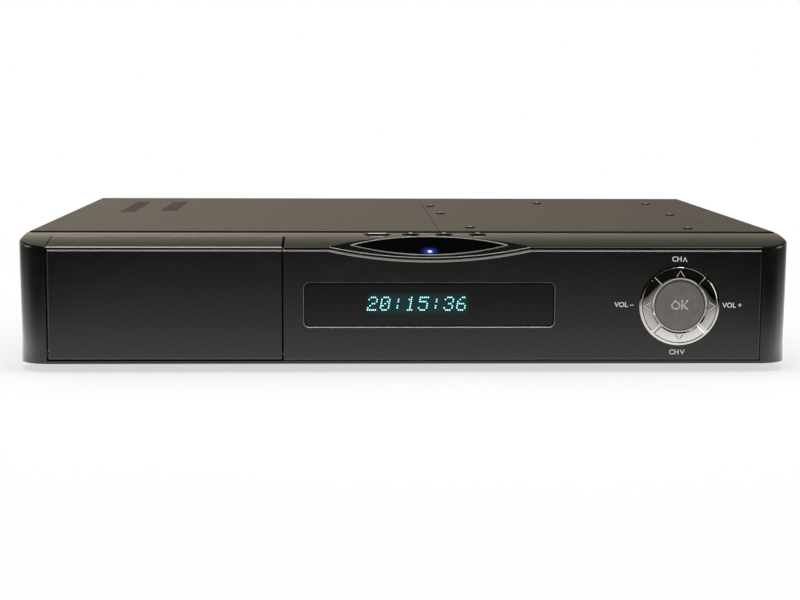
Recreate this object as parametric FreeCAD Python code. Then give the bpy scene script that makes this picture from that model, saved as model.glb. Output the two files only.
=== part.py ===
import FreeCAD, Part
import math
import os

V = FreeCAD.Vector
X_DIR = V(1, 0, 0)
Y_DIR = V(0, 1, 0)
Z_DIR = V(0, 0, 1)

# Driving dimensions in millimetres: X to the right, Y to the back, Z up
COVER_WIDTH = 360.0
BEZEL_WIDTH = 362.0
BEZEL_DEPTH = 31.0
COVER_DEPTH = 243.0
FOOT_HEIGHT = 4.0
BODY_HEIGHT = 59.5
KEY_STAND = 1.5
CONNECTOR_REACH = 11.0
SHEET = 1.0
BEZEL_WALL = 2.2
FLOOR_WALL = 1.3
CORNER_RADIUS = 15.0
RUNNING_GAP = 0.05
KEY_GAP = 0.3

# Heights and depths that follow from them
TOP = FOOT_HEIGHT + BODY_HEIGHT
FRONT = -(BEZEL_DEPTH + COVER_DEPTH + CONNECTOR_REACH - KEY_STAND) / 2
SEAM = FRONT + BEZEL_DEPTH
REAR = SEAM + COVER_DEPTH
LOW = FOOT_HEIGHT

# Fascia
PANEL_LEFT = -57.1
PANEL_RIGHT = 166.3
PANEL_THICK = 2.5
PANEL_LOW = LOW + 1.6
PANEL_TOP = TOP - 6.1
OPENING_LEFT = -166.9
OPENING_LOW = LOW + FLOOR_WALL
OPENING_TOP = TOP - 5.5
WINDOW = (-47.6, 69.2, TOP - 42.2, TOP - 21.6)
WINDOW_RADIUS = 2.5
PANEL_BEVEL = 0.7
WINDOW_BEVEL = 0.3

# Flap door and its hinge line
DOOR_LEFT = -166.4
DOOR_RIGHT = -57.9
DOOR_THICK = 2.2
DOOR_LEAF_END = SEAM - 12.9
HINGE_Y = FRONT + 2.2
HINGE_Z = LOW + 4.7
HINGE_SWEEP = 3.1
DOOR_BEVEL = 0.85
GROOVE_HEIGHT = 0.6
GROOVE_DEPTH = 0.7
PIN_RADIUS = 1.0
KNUCKLE_RADIUS = 2.1
KNUCKLE_LENGTH = 8.0

# Scooped facet and the status lens in it
SCOOP_X = 10.8
SCOOP_HALF_WIDTH = 47.25
SCOOP_BACK = SEAM - 12.5
SCOOP_DROP = 9.8
LENS_HALF_WIDTH = 36.0
LENS_TIP = 13.5
LENS_BOTTOM = 17.5
LENS_DEPTH = 2.6

# Keys on top of the bezel
TOP_KEY_Y = SEAM - 7.0
TOP_KEY_RADIUS = 4.0
STANDBY_X = -13.2
ROUND_KEY_X = (2.8, 18.8, 34.8)
TOP_KEY_TRAVEL = 0.5
TOP_KEY_RISE = 0.5
FLANGE = 1.4

# Round key pad
PAD_X = 127.8
PAD_Z = TOP - 32.0
PAD_RADIUS = 18.8
SECTOR_OUTER = 17.4
SECTOR_INNER = 13.1
OK_RADIUS = 11.6
SPOKE_WIDTH = 1.6
CROWN_START = 13.0
CROWN_RADIUS = 20.0
FRAME_STEP = 0.45
OK_SINK = 0.3
OK_ROUND = 0.5
KEY_TRAVEL = 0.6
BOARD_Y = FRONT + 9.6
BOARD_THICK = 1.6

# Slots behind the flap door
SLOT_PLATE_Y = FRONT + 14.0
SLOT_PLATE_THICK = 1.5
MODULE_SLOT = (-158.0, -103.4)
MODULE_SLOT_HEIGHT = 5.6
MODULE_SLOT_Z = (29.0, 43.0)
CARD_SLOT_Z = (13.0, 20.0)
CARD_SLOT_HEIGHT = 1.6
CAGE_DEPTH = 90.0
CAGE_WALL = 0.8
EJECT_X = -97.5

# Drive bay
BAY = (16.6, 154.5, SEAM + 3.0, SEAM + 203.0)
LID_GAP = 0.25
LID_SCREW_PLACES = (
    (20.8, 173.1), (23.6, 114.7), (33.1, 20.7), (86.0, 197.0),
    (150.4, 193.0), (148.6, 106.2), (140.4, 16.1),
)
SCREW_HEAD_RADIUS = 3.0
SCREW_RADIUS = 1.45

# Rear wall and boards
MAIN_BOARD_Z = 12.0
FAN_X = -90.0
FAN_Z = 34.0
FAN_SIZE = 40.0
FAN_THICK = 10.0
ROCKER_X = -126.0
ROCKER_Z = 24.0
ROCKER_TILT = 8.0
INLET_X = -155.0
INLET_Z = 24.0
ANTENNA_PLACES = ((150.0, 22.0), (150.0, 44.0), (168.0, 22.0), (168.0, 44.0))


def box(x0, x1, y0, y1, z0, z1):
    return Part.makeBox(x1 - x0, y1 - y0, z1 - z0, V(x0, y0, z0))


def rod(x, y, z, radius, length, axis):
    return Part.makeCylinder(radius, length, V(x, y, z), axis)


def join(shapes):
    first = shapes[0]
    rest = shapes[1:]
    if not rest:
        return first
    return first.multiFuse(rest).removeSplitter()


def group(shapes):
    return Part.makeCompound(shapes)


def plate(points, direction):
    wire = Part.makePolygon([V(*point) for point in points + points[:1]])
    return Part.Face(wire).extrude(direction)


def save(name, shape):
    if not shape.isValid():
        print("invalid", name)
    solids = shape.Solids
    if len(solids) == 1:
        shape = solids[0]
    shape.exportStep(os.path.join("parts", name + ".step"))
    print(name, len(solids), round(shape.Volume, 1))


def rounded_slab(x0, x1, z0, z1, radius, y0, y1):
    """Upright slab with rounded corners, from y0 back to y1."""
    slab = box(x0, x1, y0, y1, z0, z1)
    edges = [edge for edge in slab.Edges if abs(edge.tangentAt(0).y) > 0.9]
    return slab.makeFillet(radius, edges)


def bezel_height(y):
    """Height of the bezel's convex top at a depth."""
    back = SEAM - y
    return TOP - 0.5 - 0.0587 * back - 0.00258 * back * back


def bezel_profile(drop, front, low, rear=SEAM):
    """Side section under the convex top lowered by drop, as a wide bar."""
    middle = (front + rear) / 2
    x = -BEZEL_WIDTH
    top_front = V(x, front, bezel_height(front) - drop)
    top_middle = V(x, middle, bezel_height(middle) - drop)
    top_rear = V(x, rear, bezel_height(rear) - drop)
    low_front = V(x, front, low)
    low_rear = V(x, rear, low)
    edges = [
        Part.LineSegment(low_front, top_front).toShape(),
        Part.Arc(top_front, top_middle, top_rear).toShape(),
        Part.LineSegment(top_rear, low_rear).toShape(),
        Part.LineSegment(low_rear, low_front).toShape(),
    ]
    return Part.Face(Part.Wire(edges)).extrude(V(2 * BEZEL_WIDTH, 0, 0))


def bezel_outline(inset):
    """Plan of the bezel with its two rounded front corners."""
    half = BEZEL_WIDTH / 2 - inset
    radius = CORNER_RADIUS - inset
    slab = box(-half, half, FRONT + inset, SEAM + 1, 0, TOP + 5)
    edges = []
    for edge in slab.Edges:
        upright = abs(edge.tangentAt(0).z) > 0.9
        if upright and edge.CenterOfMass.y < FRONT + inset + 0.1:
            edges.append(edge)
    return slab.makeFillet(radius, edges)


def bezel_block():
    block = bezel_profile(0, FRONT, LOW).common(bezel_outline(0))
    rims = []
    for edge in block.Edges:
        centre = edge.CenterOfMass
        near_end = abs(centre.x) > BEZEL_WIDTH / 2 - CORNER_RADIUS
        if near_end and centre.z > TOP - 8 and centre.y < SEAM - 1:
            if abs(edge.tangentAt(edge.FirstParameter).z) < 0.9:
                rims.append(edge)
    return block.makeFillet(1.2, rims)


SCOOP_RUN = SCOOP_BACK - FRONT
SCOOP_RISE = bezel_height(SCOOP_BACK) - (TOP - SCOOP_DROP)
SCOOP_TILT = math.atan2(SCOOP_RISE, SCOOP_RUN)
SCOOP_UP = V(0, -math.sin(SCOOP_TILT), math.cos(SCOOP_TILT))
SCOOP_BACKWARD = V(0, math.cos(SCOOP_TILT), math.sin(SCOOP_TILT))
SCOOP_LIP = (bezel_height(FRONT) - (TOP - SCOOP_DROP)) * math.cos(SCOOP_TILT)
SCOOP_RADIUS = SCOOP_HALF_WIDTH ** 2 / (2 * SCOOP_LIP)
SCOOP_APEX = V(SCOOP_X, SCOOP_BACK, bezel_height(SCOOP_BACK))


def scoop_bar(extra=0.0, low_cut=60.0):
    """Large round bar whose underside is the scooped facet."""
    centre = V(SCOOP_X, FRONT, TOP - SCOOP_DROP) + SCOOP_UP * SCOOP_RADIUS
    start = centre - SCOOP_BACKWARD * low_cut
    return Part.makeCylinder(SCOOP_RADIUS + extra, 3 * low_cut, start, SCOOP_BACKWARD)


def facet_point(across, down, height=0.0):
    """Point on the facet: across to the right, down towards the front."""
    return SCOOP_APEX + X_DIR * across - SCOOP_BACKWARD * down + SCOOP_UP * height


def eye_prism(grow, below, above):
    """Eye-shaped prism square to the facet."""
    tip = LENS_HALF_WIDTH + 2 * grow
    left = facet_point(-tip, LENS_TIP, -below)
    right = facet_point(tip, LENS_TIP, -below)
    upper = facet_point(0, 0.6 - grow, -below)
    lower = facet_point(0, LENS_BOTTOM + grow, -below)
    edges = [Part.Arc(left, upper, right).toShape(), Part.Arc(right, lower, left).toShape()]
    return Part.Face(Part.Wire(edges)).extrude(SCOOP_UP * (below + above))


def facet_box(half_width, down0, down1, low, high):
    """Box square to the facet."""
    corners = [
        facet_point(-half_width, down0, low),
        facet_point(half_width, down0, low),
        facet_point(half_width, down1, low),
        facet_point(-half_width, down1, low),
    ]
    wire = Part.makePolygon(corners + corners[:1])
    return Part.Face(wire).extrude(SCOOP_UP * (high - low))


def standby_shape(grow, z0, z1):
    """Pill-shaped key body."""
    half = 6.2 - TOP_KEY_RADIUS + 1.2
    radius = 2.8 + grow
    left = rod(STANDBY_X - half, TOP_KEY_Y, z0, radius, z1 - z0, Z_DIR)
    right = rod(STANDBY_X + half, TOP_KEY_Y, z0, radius, z1 - z0, Z_DIR)
    middle = box(STANDBY_X - half, STANDBY_X + half, TOP_KEY_Y - radius, TOP_KEY_Y + radius, z0, z1)
    return join([left, middle, right])


def front_bezel():
    block = bezel_block()
    hollow = bezel_profile(BEZEL_WALL, FRONT + BEZEL_WALL, OPENING_LOW, SEAM + 1)
    hollow = hollow.common(bezel_outline(BEZEL_WALL))
    pad = facet_box(SCOOP_HALF_WIDTH + 2, -3, 21, -5.2, 12)
    hollow = hollow.cut(pad)
    hollow = hollow.cut(box(OPENING_LEFT - 1.6, OPENING_LEFT, FRONT, SEAM + 1, 0, TOP))
    hollow = hollow.cut(box(PANEL_LEFT + 0.3, PANEL_LEFT + 1.8, FRONT, SEAM + 1, 0, TOP))
    shell = block.cut(hollow)
    shell = shell.cut(eye_prism(0.6, LENS_DEPTH, 12))
    shell = shell.cut(scoop_bar())
    opening = box(OPENING_LEFT, PANEL_RIGHT + 0.2, FRONT - 1, FRONT + PANEL_THICK, OPENING_LOW, OPENING_TOP)
    opening = opening.cut(scoop_bar(0.7))
    shell = shell.cut(opening)
    shell = shell.cut(door_space())
    shell = join([shell, bay_roof(), pin_boss(OPENING_LEFT - 4.0, 4.0), pin_boss(PANEL_LEFT + 0.3, 3.5)])
    for x in (OPENING_LEFT - 4.0, PANEL_LEFT - 1):
        shell = shell.cut(rod(x, HINGE_Y, HINGE_Z, PIN_RADIUS, 5.5, X_DIR))
    shell = shell.cut(led_hole())
    for x in ROUND_KEY_X:
        shell = shell.cut(rod(x, TOP_KEY_Y, TOP - 12, TOP_KEY_RADIUS + KEY_GAP, 20, Z_DIR))
        shell = shell.cut(rod(x, TOP_KEY_Y, TOP - 12, TOP_KEY_RADIUS + FLANGE + KEY_GAP, 8.5, Z_DIR))
    shell = shell.cut(standby_shape(KEY_GAP, TOP - 12, TOP + 5))
    shell = shell.cut(standby_shape(FLANGE + KEY_GAP, TOP - 12, TOP - 3.5))
    for x in (-BEZEL_WIDTH / 2 + 10, BEZEL_WIDTH / 2 - 10):
        shell = join([shell, screw_post(x)])
    return shell


def led_hole():
    start = facet_point(0.3, 14.5, -8)
    return Part.makeCylinder(1.6, 12, start, SCOOP_UP)


def screw_post(x):
    """Post on the bezel's floor that a chassis screw holds."""
    post = box(x - 3, x + 3, SEAM - 12, SEAM, OPENING_LOW, OPENING_LOW + 6)
    return post


def door_space():
    """What the flap door and its wrapped leaf take out of the bezel."""
    right = PANEL_LEFT + 0.3
    span = box(OPENING_LEFT, right, FRONT - 1, SEAM - 12.5, OPENING_LOW, TOP + 3)
    return span


def bay_roof():
    """Roof of the slot bay, under the door's wrapped leaf."""
    upper = bezel_profile(2.9, FRONT + 5, LOW)
    lower = bezel_profile(4.4, FRONT + 4, LOW - 1, SEAM + 1)
    roof = upper.cut(lower)
    roof = roof.common(box(OPENING_LEFT - 0.5, PANEL_LEFT + 0.8, FRONT + 5, SEAM - 8, 0, TOP))
    hanger = bezel_profile(1.5, SEAM - 12.4, LOW).cut(lower)
    hanger = hanger.common(box(OPENING_LEFT - 0.5, PANEL_LEFT + 0.8, SEAM - 12.4, SEAM - 10, 0, TOP))
    return join([roof, hanger])


def pin_boss(x, wide):
    """Thickening that holds one hinge pin."""
    return box(x, x + wide, FRONT + PANEL_THICK, FRONT + 6, OPENING_LOW, HINGE_Z + 3)


def door_pins():
    left = rod(OPENING_LEFT - 3.5, HINGE_Y, HINGE_Z, PIN_RADIUS, 8.0, X_DIR)
    right = rod(PANEL_LEFT - 5.3, HINGE_Y, HINGE_Z, PIN_RADIUS, 8.0, X_DIR)
    return group([left, right])


def flap_door():
    slab = bezel_block().common(box(DOOR_LEFT, DOOR_RIGHT, FRONT - 1, DOOR_LEAF_END, LOW + 1.3, TOP + 1))
    inner = bezel_profile(DOOR_THICK, FRONT + DOOR_THICK, LOW - 5, SEAM + 1)
    door = slab.cut(inner)
    groove_top = PANEL_TOP + GROOVE_HEIGHT
    groove = box(DOOR_LEFT - 1, DOOR_RIGHT + 1, FRONT - 1, FRONT + GROOVE_DEPTH, PANEL_TOP, groove_top)
    door = door.cut(groove).cut(door_bevels())
    knuckles = []
    for x in (DOOR_LEFT, DOOR_RIGHT - KNUCKLE_LENGTH):
        barrel = rod(x, HINGE_Y, HINGE_Z, KNUCKLE_RADIUS, KNUCKLE_LENGTH, X_DIR)
        web = box(x, x + KNUCKLE_LENGTH, FRONT + 1, HINGE_Y, HINGE_Z - 1, HINGE_Z + 2)
        knuckles.extend([barrel, web])
    door = join([door] + knuckles)
    keep = join([
        rod(DOOR_LEFT - 1, HINGE_Y, HINGE_Z, HINGE_SWEEP, DOOR_RIGHT - DOOR_LEFT + 2, X_DIR),
        box(DOOR_LEFT - 1, DOOR_RIGHT + 1, FRONT - 1, SEAM, HINGE_Z, TOP + 1),
    ])
    door = door.common(keep)
    bore = rod(DOOR_LEFT - 1, HINGE_Y, HINGE_Z, PIN_RADIUS + RUNNING_GAP, DOOR_RIGHT - DOOR_LEFT + 2, X_DIR)
    return door.cut(bore)


def door_bevels():
    """Wedges that slope the door's left, bottom and groove edges."""
    near = FRONT - 1
    left = plate([(DOOR_LEFT - 2, near, 0), (DOOR_LEFT + DOOR_BEVEL + 1, near, 0),
                  (DOOR_LEFT - 2, FRONT + DOOR_BEVEL + 2, 0)], V(0, 0, PANEL_TOP))
    low = HINGE_Z - 2.8
    bottom = plate([(DOOR_LEFT - 1, near, low + DOOR_BEVEL + 1), (DOOR_LEFT - 1, near, low - 1),
                    (DOOR_LEFT - 1, FRONT + DOOR_BEVEL + 1, low - 1)], V(DOOR_RIGHT - DOOR_LEFT + 2, 0, 0))
    slope = plate([(DOOR_LEFT - 1, near, PANEL_TOP - PANEL_BEVEL - 1), (DOOR_LEFT - 1, near, PANEL_TOP),
                   (DOOR_LEFT - 1, FRONT + PANEL_BEVEL, PANEL_TOP)], V(DOOR_RIGHT - DOOR_LEFT + 2, 0, 0))
    return join([left, bottom, slope])


def door_strike():
    return box(-120, -104, FRONT + DOOR_THICK, FRONT + DOOR_THICK + 0.8, TOP - 16, TOP - 9.2)


def door_catch():
    """Magnet block that hangs from the roof of the bay."""
    block = box(-118, -106, FRONT + 5.2, FRONT + 10, TOP - 15, TOP - 7)
    tip = box(-116, -108, FRONT + DOOR_THICK + 1.1, FRONT + 5.2, TOP - 14, TOP - 10)
    below = bezel_profile(4.5, FRONT + 1, LOW)
    return join([block, tip]).common(below)


def slot_plate():
    y0 = SLOT_PLATE_Y
    y1 = y0 + SLOT_PLATE_THICK
    sheet = box(OPENING_LEFT, PANEL_LEFT + 0.3, y0, y1, OPENING_LOW, TOP - 8.0)
    x0, x1 = MODULE_SLOT
    for z in MODULE_SLOT_Z:
        sheet = sheet.cut(box(x0, x1, y0 - 1, y1 + 1, z, z + MODULE_SLOT_HEIGHT))
        sheet = sheet.cut(box(EJECT_X - 2.4, EJECT_X + 2.4, y0 - 1, y1 + 1, z + 0.9, z + 4.7))
    for z in CARD_SLOT_Z:
        sheet = sheet.cut(box(x0, x1, y0 - 1, y1 + 1, z, z + CARD_SLOT_HEIGHT))
        notch = rod((x0 + x1) / 2, y0 - 1, z + CARD_SLOT_HEIGHT / 2, 7.0, 4, Y_DIR)
        band = box(x0, x1, y0 - 1, y0 + 0.8, z - 1.4, z + CARD_SLOT_HEIGHT + 1.4)
        sheet = sheet.cut(notch.common(band))
    return sheet.cut(box(-84.3, -70.7, y0 - 1, y1 + 1, 30.2, 36.8))


def module_cage(z):
    """Open sheet-metal cage for one conditional-access module."""
    x0, x1 = MODULE_SLOT
    y0 = SLOT_PLATE_Y + SLOT_PLATE_THICK
    y1 = y0 + CAGE_DEPTH
    z1 = z + MODULE_SLOT_HEIGHT
    outer = box(x0 - CAGE_WALL, x1 + CAGE_WALL, y0, y1, z - CAGE_WALL, z1 + CAGE_WALL)
    inner = box(x0, x1, y0 - 1, y1 - 5, z, z1)
    cage = outer.cut(inner)
    window = box(x0 + 12, x1 - 12, y0 + 18, y1 - 22, z1 - 0.5, z1 + 2)
    return cage.cut(window)


def module_ejector(z):
    """Push rod beside a module cage."""
    head = box(EJECT_X - 2.1, EJECT_X + 2.1, SLOT_PLATE_Y - 5.6, SLOT_PLATE_Y + 30, z + 1.2, z + 4.4)
    return head


def card_readers():
    x0, x1 = MODULE_SLOT
    y0 = SLOT_PLATE_Y + SLOT_PLATE_THICK
    readers = []
    for z in CARD_SLOT_Z:
        outer = box(x0 - 2, x1 + 2, y0, y0 + 62, z - 2, z + CARD_SLOT_HEIGHT + 1.6)
        inner = box(x0, x1, y0 - 1, y0 + 58, z, z + CARD_SLOT_HEIGHT)
        readers.append(outer.cut(inner))
    return group(readers)


def usb_shell(x, z, y_face, y_back, wide=13.2, high=5.8):
    """Metal-cased serial-bus socket with its tongue; the face looks along y_face."""
    step = 1 if y_back > y_face else -1
    low_y, high_y = sorted((y_face, y_back))
    shell = box(x - wide / 2, x + wide / 2, low_y, high_y, z, z + high)
    mouth = sorted((y_face - step, y_back - 3 * step))
    hollow = box(x - wide / 2 + 0.4, x + wide / 2 - 0.4, mouth[0], mouth[1], z + 0.4, z + high - 0.4)
    shell = shell.cut(hollow)
    tongue_y = sorted((y_face + step, y_back - 2.5 * step))
    tongue = box(x - 5.5, x + 5.5, tongue_y[0], tongue_y[1], z + high - 2.6, z + high - 0.9)
    return join([shell, tongue])


def front_usb_port():
    return usb_shell(-77.5, 30.6, SLOT_PLATE_Y - 0.3, SLOT_PLATE_Y + 14)


def edges_at(shape, y):
    """Edges that lie in one upright plane facing the front."""
    return [edge for edge in shape.Edges if all(abs(vertex.Y - y) < 0.01 for vertex in edge.Vertexes)]


def front_panel():
    panel = box(PANEL_LEFT, PANEL_RIGHT, FRONT, FRONT + PANEL_THICK, PANEL_LOW, PANEL_TOP)
    panel = panel.cut(scoop_bar(1.3))
    outside = [edge for edge in edges_at(panel, FRONT) if edge.CenterOfMass.x > PANEL_LEFT + 0.1]
    panel = panel.makeChamfer(PANEL_BEVEL, outside)
    x0, x1, z0, z1 = WINDOW
    panel = panel.cut(rounded_slab(x0, x1, z0, z1, WINDOW_RADIUS, FRONT - 1, FRONT + 4))
    rim = [edge for edge in edges_at(panel, FRONT) if x0 - 0.1 < edge.CenterOfMass.x < x1 + 0.1
           and z0 - 0.1 < edge.CenterOfMass.z < z1 + 0.1]
    panel = panel.makeChamfer(WINDOW_BEVEL, rim)
    panel = panel.cut(rod(PANEL_LEFT - 1, HINGE_Y, HINGE_Z, PIN_RADIUS, 4.0, X_DIR))
    return panel.cut(rod(PAD_X, FRONT - 1, PAD_Z, PAD_RADIUS + 0.1, 6, Y_DIR))


def display_window():
    x0, x1, z0, z1 = WINDOW
    gap = 0.35
    face = FRONT + 0.3
    lens = rounded_slab(x0 + gap, x1 - gap, z0 + gap, z1 - gap, WINDOW_RADIUS - gap, face, FRONT + 3.7)
    lens = lens.makeChamfer(WINDOW_BEVEL, edges_at(lens, face))
    back = FRONT + PANEL_THICK
    flange = rounded_slab(x0 - 2, x1 + 2, z0 - 2, z1 + 2, WINDOW_RADIUS, back, back + 1.2)
    return join([lens, flange])


def display_module():
    x0, x1, z0, z1 = WINDOW
    envelope = box(x0 + 5, x1 - 24, FRONT + 4.6, BOARD_Y, z0 + 0.5, z1 - 0.5)
    tip = rod(x0 + 5, FRONT + 7, (z0 + z1) / 2, 1.4, 3, V(-1, 0, 0))
    return join([envelope, tip])


def status_lens():
    lens = eye_prism(0, LENS_DEPTH, 12)
    return lens.cut(scoop_bar(-0.2)).cut(led_hole())


def lens_rim():
    rim = eye_prism(0.55, LENS_DEPTH, 12).cut(eye_prism(0.02, LENS_DEPTH + 1, 13))
    return rim.cut(scoop_bar(-0.35))


def status_led():
    start = facet_point(0.3, 14.5, -7.5)
    return Part.makeCylinder(1.5, 7.7, start, SCOOP_UP)


def key_cap_top(shape):
    """Trim a top key to stand a little over the bezel's convex top."""
    return shape.common(bezel_profile(-TOP_KEY_RISE, FRONT, LOW))


def key_flange(shape):
    """Trim a key's flange to stop under the bezel's wall."""
    return shape.common(bezel_profile(BEZEL_WALL + 0.6, FRONT, LOW))


def standby_button():
    cap = key_cap_top(standby_shape(0, TOP - 5.6, TOP + 2))
    flange = key_flange(standby_shape(FLANGE, TOP - 5.6, TOP))
    return join([cap, flange])


def round_button(x):
    cap = key_cap_top(rod(x, TOP_KEY_Y, TOP - 5.6, TOP_KEY_RADIUS, 8, Z_DIR))
    flange = key_flange(rod(x, TOP_KEY_Y, TOP - 5.6, TOP_KEY_RADIUS + FLANGE, 5, Z_DIR))
    return join([cap, flange])


def ring(x, y, z, outer, inner, length, axis):
    return rod(x, y, z, outer, length, axis).cut(rod(x, y, z, inner, length, axis))


def diagonal_bar(angle, width, inner, outer, y0, y1):
    """Straight radial bar in the key pad."""
    bar = box(PAD_X + inner, PAD_X + outer, y0, y1, PAD_Z - width / 2, PAD_Z + width / 2)
    bar.rotate(V(PAD_X, 0, PAD_Z), Y_DIR, angle)
    return bar


def pad_crown(face):
    """Round boss whose outer part falls away from its flat middle in a soft arc."""
    edge = PAD_RADIUS + 3
    middle = (CROWN_START + edge) / 2

    def spot(radius):
        past = max(radius - CROWN_START, 0)
        drop = CROWN_RADIUS - math.sqrt(CROWN_RADIUS ** 2 - past ** 2)
        return V(PAD_X + radius, face + drop, PAD_Z)

    back = face + 12
    outline = [
        Part.LineSegment(spot(0), spot(CROWN_START)).toShape(),
        Part.Arc(spot(CROWN_START), spot(middle), spot(edge)).toShape(),
        Part.LineSegment(spot(edge), V(PAD_X + edge, back, PAD_Z)).toShape(),
        Part.LineSegment(V(PAD_X + edge, back, PAD_Z), V(PAD_X, back, PAD_Z)).toShape(),
        Part.LineSegment(V(PAD_X, back, PAD_Z), spot(0)).toShape(),
    ]
    return Part.Face(Part.Wire(outline)).revolve(V(PAD_X, 0, PAD_Z), Y_DIR, 360)


def key_frame():
    """Chromed ring with four spokes that the keys sit in."""
    face = FRONT - KEY_STAND + FRAME_STEP
    depth = FRONT + PANEL_THICK + 2.0 - face
    outer = ring(PAD_X, face, PAD_Z, PAD_RADIUS, SECTOR_OUTER + 0.2, depth, Y_DIR)
    inner = ring(PAD_X, face, PAD_Z, SECTOR_INNER - 0.2, OK_RADIUS + 0.3, depth, Y_DIR)
    spokes = []
    for angle in (45, 135, 225, 315):
        spokes.append(diagonal_bar(angle, SPOKE_WIDTH, SECTOR_INNER - 0.6, SECTOR_OUTER + 0.6, face, face + depth))
    flange = ring(PAD_X, FRONT + PANEL_THICK, PAD_Z, PAD_RADIUS + 2, SECTOR_OUTER + 0.2, 1.5, Y_DIR)
    crown = pad_crown(face)
    return join([piece.common(crown) for piece in [outer, inner, flange] + spokes])


def sector_key(centre_angle):
    """One of the four outer keys, a quarter of a ring."""
    face = FRONT - KEY_STAND
    depth = PANEL_THICK + 4.2
    band = ring(PAD_X, face, PAD_Z, SECTOR_OUTER - 0.1, SECTOR_INNER + 0.1, depth, Y_DIR)
    reach = 2 * PAD_RADIUS
    wedge = plate([(PAD_X, face, PAD_Z), (PAD_X + reach, face, PAD_Z - reach),
                   (PAD_X + reach, face, PAD_Z + reach)], V(0, depth, 0))
    wedge.rotate(V(PAD_X, 0, PAD_Z), Y_DIR, centre_angle)
    key = band.common(wedge)
    for angle in (centre_angle - 45, centre_angle + 45):
        key = key.cut(diagonal_bar(angle, SPOKE_WIDTH + 0.5, 5, PAD_RADIUS + 2, face - 1, face + depth + 1))
    return key.common(pad_crown(face))


def ok_key():
    face = FRONT - KEY_STAND + OK_SINK
    cap = rod(PAD_X, face, PAD_Z, OK_RADIUS, PANEL_THICK + 4.2 - OK_SINK, Y_DIR)
    return cap.makeFillet(OK_ROUND, edges_at(cap, face))


SWITCH_HEIGHT = BOARD_Y - (FRONT - KEY_STAND + PANEL_THICK + 4.2) - KEY_TRAVEL - 0.2


def pad_switches():
    switches = []
    middle = (SECTOR_OUTER + SECTOR_INNER) / 2
    places = [(0, 0), (middle, 0), (-middle, 0), (0, middle), (0, -middle)]
    for dx, dz in places:
        x = PAD_X + dx
        z = PAD_Z + dz
        switches.append(box(x - 2, x + 2, BOARD_Y - SWITCH_HEIGHT, BOARD_Y, z - 2, z + 2))
    return switches


def top_switches():
    z_board = TOP - 10.0
    z_top = TOP - 5.6 - TOP_KEY_TRAVEL - 0.2
    switches = []
    for x in (STANDBY_X,) + ROUND_KEY_X:
        switches.append(box(x - 2.2, x + 2.2, TOP_KEY_Y - 2.2, TOP_KEY_Y + 2.2, z_board, z_top))
    return switches


def tact_switches():
    return group(pad_switches() + top_switches())


def front_board():
    return box(PANEL_LEFT + 3, PANEL_RIGHT - 4, BOARD_Y, BOARD_Y + BOARD_THICK, LOW + 5, TOP - 17)


def top_key_board():
    return box(-27, 45, SEAM - 12, SEAM - 0.5, TOP - 11.6, TOP - 10.0)


def infrared_receiver():
    x = WINDOW[1] - 11
    z = (WINDOW[2] + WINDOW[3]) / 2
    body = box(x - 3.5, x + 3.5, BOARD_Y - 3.6, BOARD_Y, z - 4, z + 4)
    dome = Part.makeSphere(2.6, V(x, BOARD_Y - 3.6, z))
    return join([body, dome.common(box(x - 3, x + 3, FRONT + 4.2, BOARD_Y - 1, z - 3, z + 3))])


def rear_panel():
    panel = box(-COVER_WIDTH / 2 + 1.1, COVER_WIDTH / 2 - 1.1, REAR - SHEET, REAR, LOW + SHEET, TOP - SHEET - 0.1)
    holes = [box(x0 - 0.2, x1 + 0.2, REAR - 2, REAR + 1, z0 - 0.2, z1 + 0.2) for x0, x1, z0, z1 in port_outlines()]
    for angle in range(0, 360, 30):
        for radius in (8.0, 12.5, 17.0):
            slot = box(FAN_X + radius - 1.4, FAN_X + radius + 1.4, REAR - 2, REAR + 1, FAN_Z - 1.3, FAN_Z + 1.3)
            slot.rotate(V(FAN_X, 0, FAN_Z), Y_DIR, angle)
            holes.append(slot)
    for x, z in ANTENNA_PLACES:
        holes.append(rod(x, REAR - 2, z, 4.9, 3, Y_DIR))
    for x, z in phono_places():
        holes.append(rod(x, REAR - 2, z, 4.4, 3, Y_DIR))
    for x, z in cover_screw_places():
        holes.append(rod(x, REAR - 2, z, SCREW_RADIUS, 3, Y_DIR))
    return panel.cut(holes)


SCART_X = 104.0
SCART_Z = (15.0, 38.0)
SCART_SIZE = (50.0, 15.0)
NETWORK_X = -18.0
USB_X = 2.0
HDMI_X = 21.0
OPTICAL_X = 37.0
SERIAL_X = -50.0
PHONO_X = (52.0, 64.0)


def phono_places():
    return [(x, z) for x in PHONO_X for z in (21.0, 33.0, 45.0)]


def cover_screw_places():
    return [(-172.0, 56.0), (-45.0, 56.0), (30.0, 56.0), (136.0, 56.0)]


def port_outlines():
    """Rear cut-outs: x0, x1, z0, z1."""
    outlines = [
        (INLET_X - 12.0, INLET_X + 12.0, INLET_Z - 8.0, INLET_Z + 8.0),
        (ROCKER_X - 9.5, ROCKER_X + 9.5, ROCKER_Z - 6.5, ROCKER_Z + 6.5),
        (SERIAL_X - 15.5, SERIAL_X + 15.5, 14.0, 26.0),
        (NETWORK_X - 8.0, NETWORK_X + 8.0, 14.0, 27.5),
        (USB_X - 6.6, USB_X + 6.6, 14.0, 29.0),
        (HDMI_X - 7.5, HDMI_X + 7.5, 14.0, 20.0),
        (OPTICAL_X - 5.0, OPTICAL_X + 5.0, 14.0, 24.0),
    ]
    for z in SCART_Z:
        outlines.append((SCART_X - SCART_SIZE[0] / 2, SCART_X + SCART_SIZE[0] / 2, z, z + SCART_SIZE[1]))
    return outlines


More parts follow.
